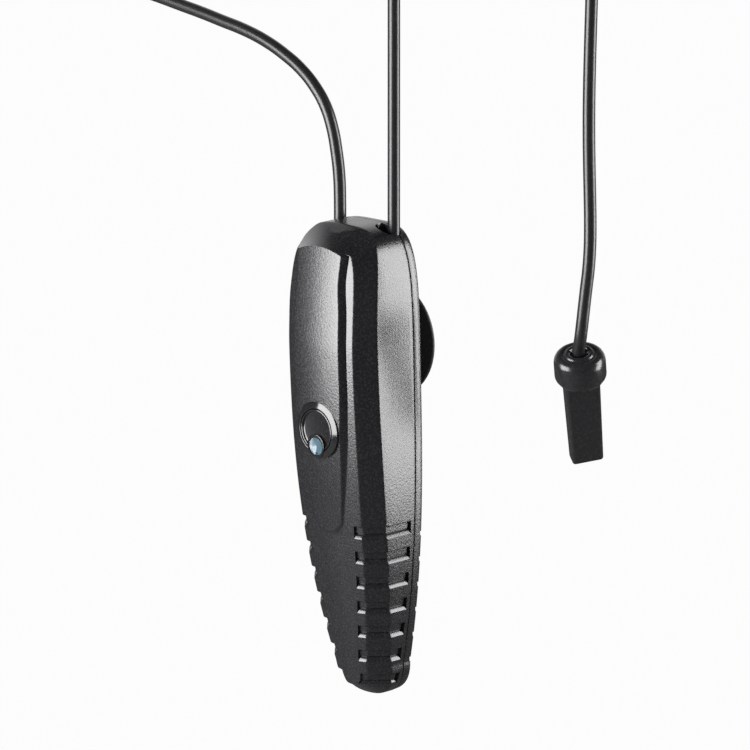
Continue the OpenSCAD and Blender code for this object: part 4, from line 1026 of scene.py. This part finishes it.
# -------------------- fasteners and circuit
# Zinc-plated screws, the green board with its potentiometer, chip, transistor, capacitors,
# resistors, LED and two headers, the leads' wires, and what is sealed in the probe. Each keeps
# its machined or moulded shape and takes the colour of its stuff.
for material, names in (
        (matt_rubber, ("seam_gasket", "supply_tie", "sensor_tie")),
        (nickel, ("plug_barrel", "plug_contact")),
        (gloss_black, ("plug_insulator",)),
        (vinyl, ("supply_cord_end", "sensor_cord_end")),
        (moulded("zinc_plated_steel", (0.55, 0.56, 0.58), (0.64, 0.65, 0.67), 0.3,
                 patch_spread=0.2, bump=0.08, depth=0.01, metallic=1.0),
         ("cover_screws", "board_screws", "pot_shaft", "thermistor_legs")),
        (moulded("board_green", (0.02, 0.13, 0.055), (0.03, 0.18, 0.08), 0.32,
                 speck_scale=700.0), ("circuit_board",)),
        (moulded("chip_black_resin", (0.02, 0.02, 0.021), (0.05, 0.05, 0.05), 0.5,
                 speck_scale=2500.0, bump=0.2),
         ("control_chip", "output_transistor", "thermistor")),
        (moulded("pot_blue_plastic", (0.06, 0.17, 0.36), (0.08, 0.21, 0.42), 0.35),
         ("pot_body",)),
        (moulded("capacitor_sleeve", (0.02, 0.03, 0.10), (0.03, 0.045, 0.14), 0.22,
                 speck_scale=600.0, bump=0.03), ("capacitors",)),
        (moulded("resistor_lacquer", (0.50, 0.36, 0.19), (0.56, 0.42, 0.24), 0.35),
         ("resistors",)),
        (moulded("led_resin", (0.62, 0.68, 0.74), (0.68, 0.73, 0.78), 0.1,
                 speck_scale=500.0, bump=0.02, depth=0.01), ("status_led",)),
        (moulded("header_ivory_plastic", (0.74, 0.71, 0.60), (0.79, 0.76, 0.66), 0.4),
         ("supply_header", "sensor_header")),
        (moulded("wire_insulation", (0.42, 0.02, 0.02), (0.50, 0.04, 0.035), 0.35),
         ("supply_wires", "sensor_wires")),
        (moulded("potting_resin", (0.55, 0.50, 0.36), (0.60, 0.55, 0.42), 0.3,
                 speck_scale=600.0, bump=0.06), ("probe_potting",))):
    for name in names:
        painted(nodes[name], material)

# -------------------- studio
# Two tall softboxes stand left and right of the viewer, so flat faces turned to either side
# are bright and the bevel between them stays dark. The floor and the backdrop are white.
colour_share = 0.5


def softbox(name, azimuth, distance, low, high, width, radiance):
    """A tall lamp at that azimuth from the housing, which it faces. The gloss sees it as bright
    as it is, and a twin in the same place lights the colours at a plain level."""
    for part, share in (("gloss", 1.0), ("colour", colour_share)):
        lamp_data = bpy.data.lights.new(f"{name}_{part}", "AREA")
        lamp_data.shape = "RECTANGLE"
        lamp_data.size = width
        lamp_data.size_y = high - low
        lamp_data.energy = share * radiance * math.pi * width * (high - low)
        lamp = placed(f"{name}_{part}", lamp_data)
        angle = math.radians(azimuth)
        lamp.location = (distance * math.sin(angle), -distance * math.cos(angle),
                         (low + high) / 2)
        facing = Vector((-math.sin(angle), math.cos(angle), 0))
        lamp.rotation_mode = "QUATERNION"
        lamp.rotation_quaternion = facing.to_track_quat("-Z", "Y")
        lamp.visible_glossy = part == "gloss"
        lamp.visible_diffuse = part == "colour"


softbox("left_softbox", -20, 0.9, -0.28, 0.44, 0.66, 12.5)
softbox("right_softbox", 132, 0.6, -0.22, 0.38, 0.30, 10.0)

floor_z = -0.42
floor_white = 0.975
floor_maker = bmesh.new()
bmesh.ops.create_grid(floor_maker, x_segments=1, y_segments=1, size=6)
floor = finished("studio_floor", floor_maker, 30, Matrix.Translation((0, 0, floor_z)))


def ray_kinds(tree):
    """Whether a ray is the camera's, straight or through a clear part; and whether it is a
    reflected one."""
    ray = tree.nodes.new("ShaderNodeLightPath").outputs
    seen = math_node(tree, "MAXIMUM", ray["Is Camera Ray"], ray["Is Transmission Ray"])
    return seen, ray["Is Glossy Ray"]


floor_paint = bpy.data.materials.new("studio_floor_paint")
floor_paint.use_nodes = True
tree = floor_paint.node_tree
matt = tree.nodes["Principled BSDF"]
matt.inputs["Base Color"].default_value = (0.32, 0.32, 0.32, 1)
matt.inputs["Roughness"].default_value = 0.9
white = tree.nodes.new("ShaderNodeEmission")
white.inputs["Strength"].default_value = 1
blend = tree.nodes.new("ShaderNodeMixShader")
tree.links.new(math_node(tree, "MULTIPLY", ray_kinds(tree)[0], floor_white), blend.inputs["Fac"])
tree.links.new(matt.outputs["BSDF"], blend.inputs[1])
tree.links.new(white.outputs["Emission"], blend.inputs[2])
tree.links.new(blend.outputs["Shader"], tree.nodes["Material Output"].inputs["Surface"])
floor.data.materials.append(floor_paint)

world = bpy.data.worlds.new("studio")
bpy.context.scene.world = world
world.use_nodes = True
tree = world.node_tree
backdrop = tree.nodes["Background"]
backdrop.inputs["Color"].default_value = (1, 1, 1, 1)
seen, glossy = ray_kinds(tree)
# polished faces see the white backdrop behind the object and the dim room before it
backdrop_x = -0.70
backdrop_y = 0.71
room_level = 0.11
heading = tree.nodes.new("ShaderNodeTexCoord")
split = tree.nodes.new("ShaderNodeSeparateXYZ")
tree.links.new(heading.outputs["Generated"], split.inputs["Vector"])
behind = math_node(tree, "ADD", math_node(tree, "MULTIPLY", split.outputs["X"], backdrop_x),
                   math_node(tree, "MULTIPLY", split.outputs["Y"], backdrop_y))
ramp = tree.nodes.new("ShaderNodeMapRange")
for end, value in (("From Min", 0.55), ("From Max", 0.95), ("To Min", 0.05), ("To Max", 1.0)):
    ramp.inputs[end].default_value = value
tree.links.new(behind, ramp.inputs["Value"])
polished = math_node(tree, "MULTIPLY", glossy, ramp.outputs["Result"])
plain = math_node(tree, "MULTIPLY", math_node(tree, "SUBTRACT", 1.0, glossy), room_level)
tree.links.new(math_node(tree, "MAXIMUM", seen, math_node(tree, "ADD", polished, plain)),
               backdrop.inputs["Strength"])

bpy.context.scene.view_settings.view_transform = "Standard"
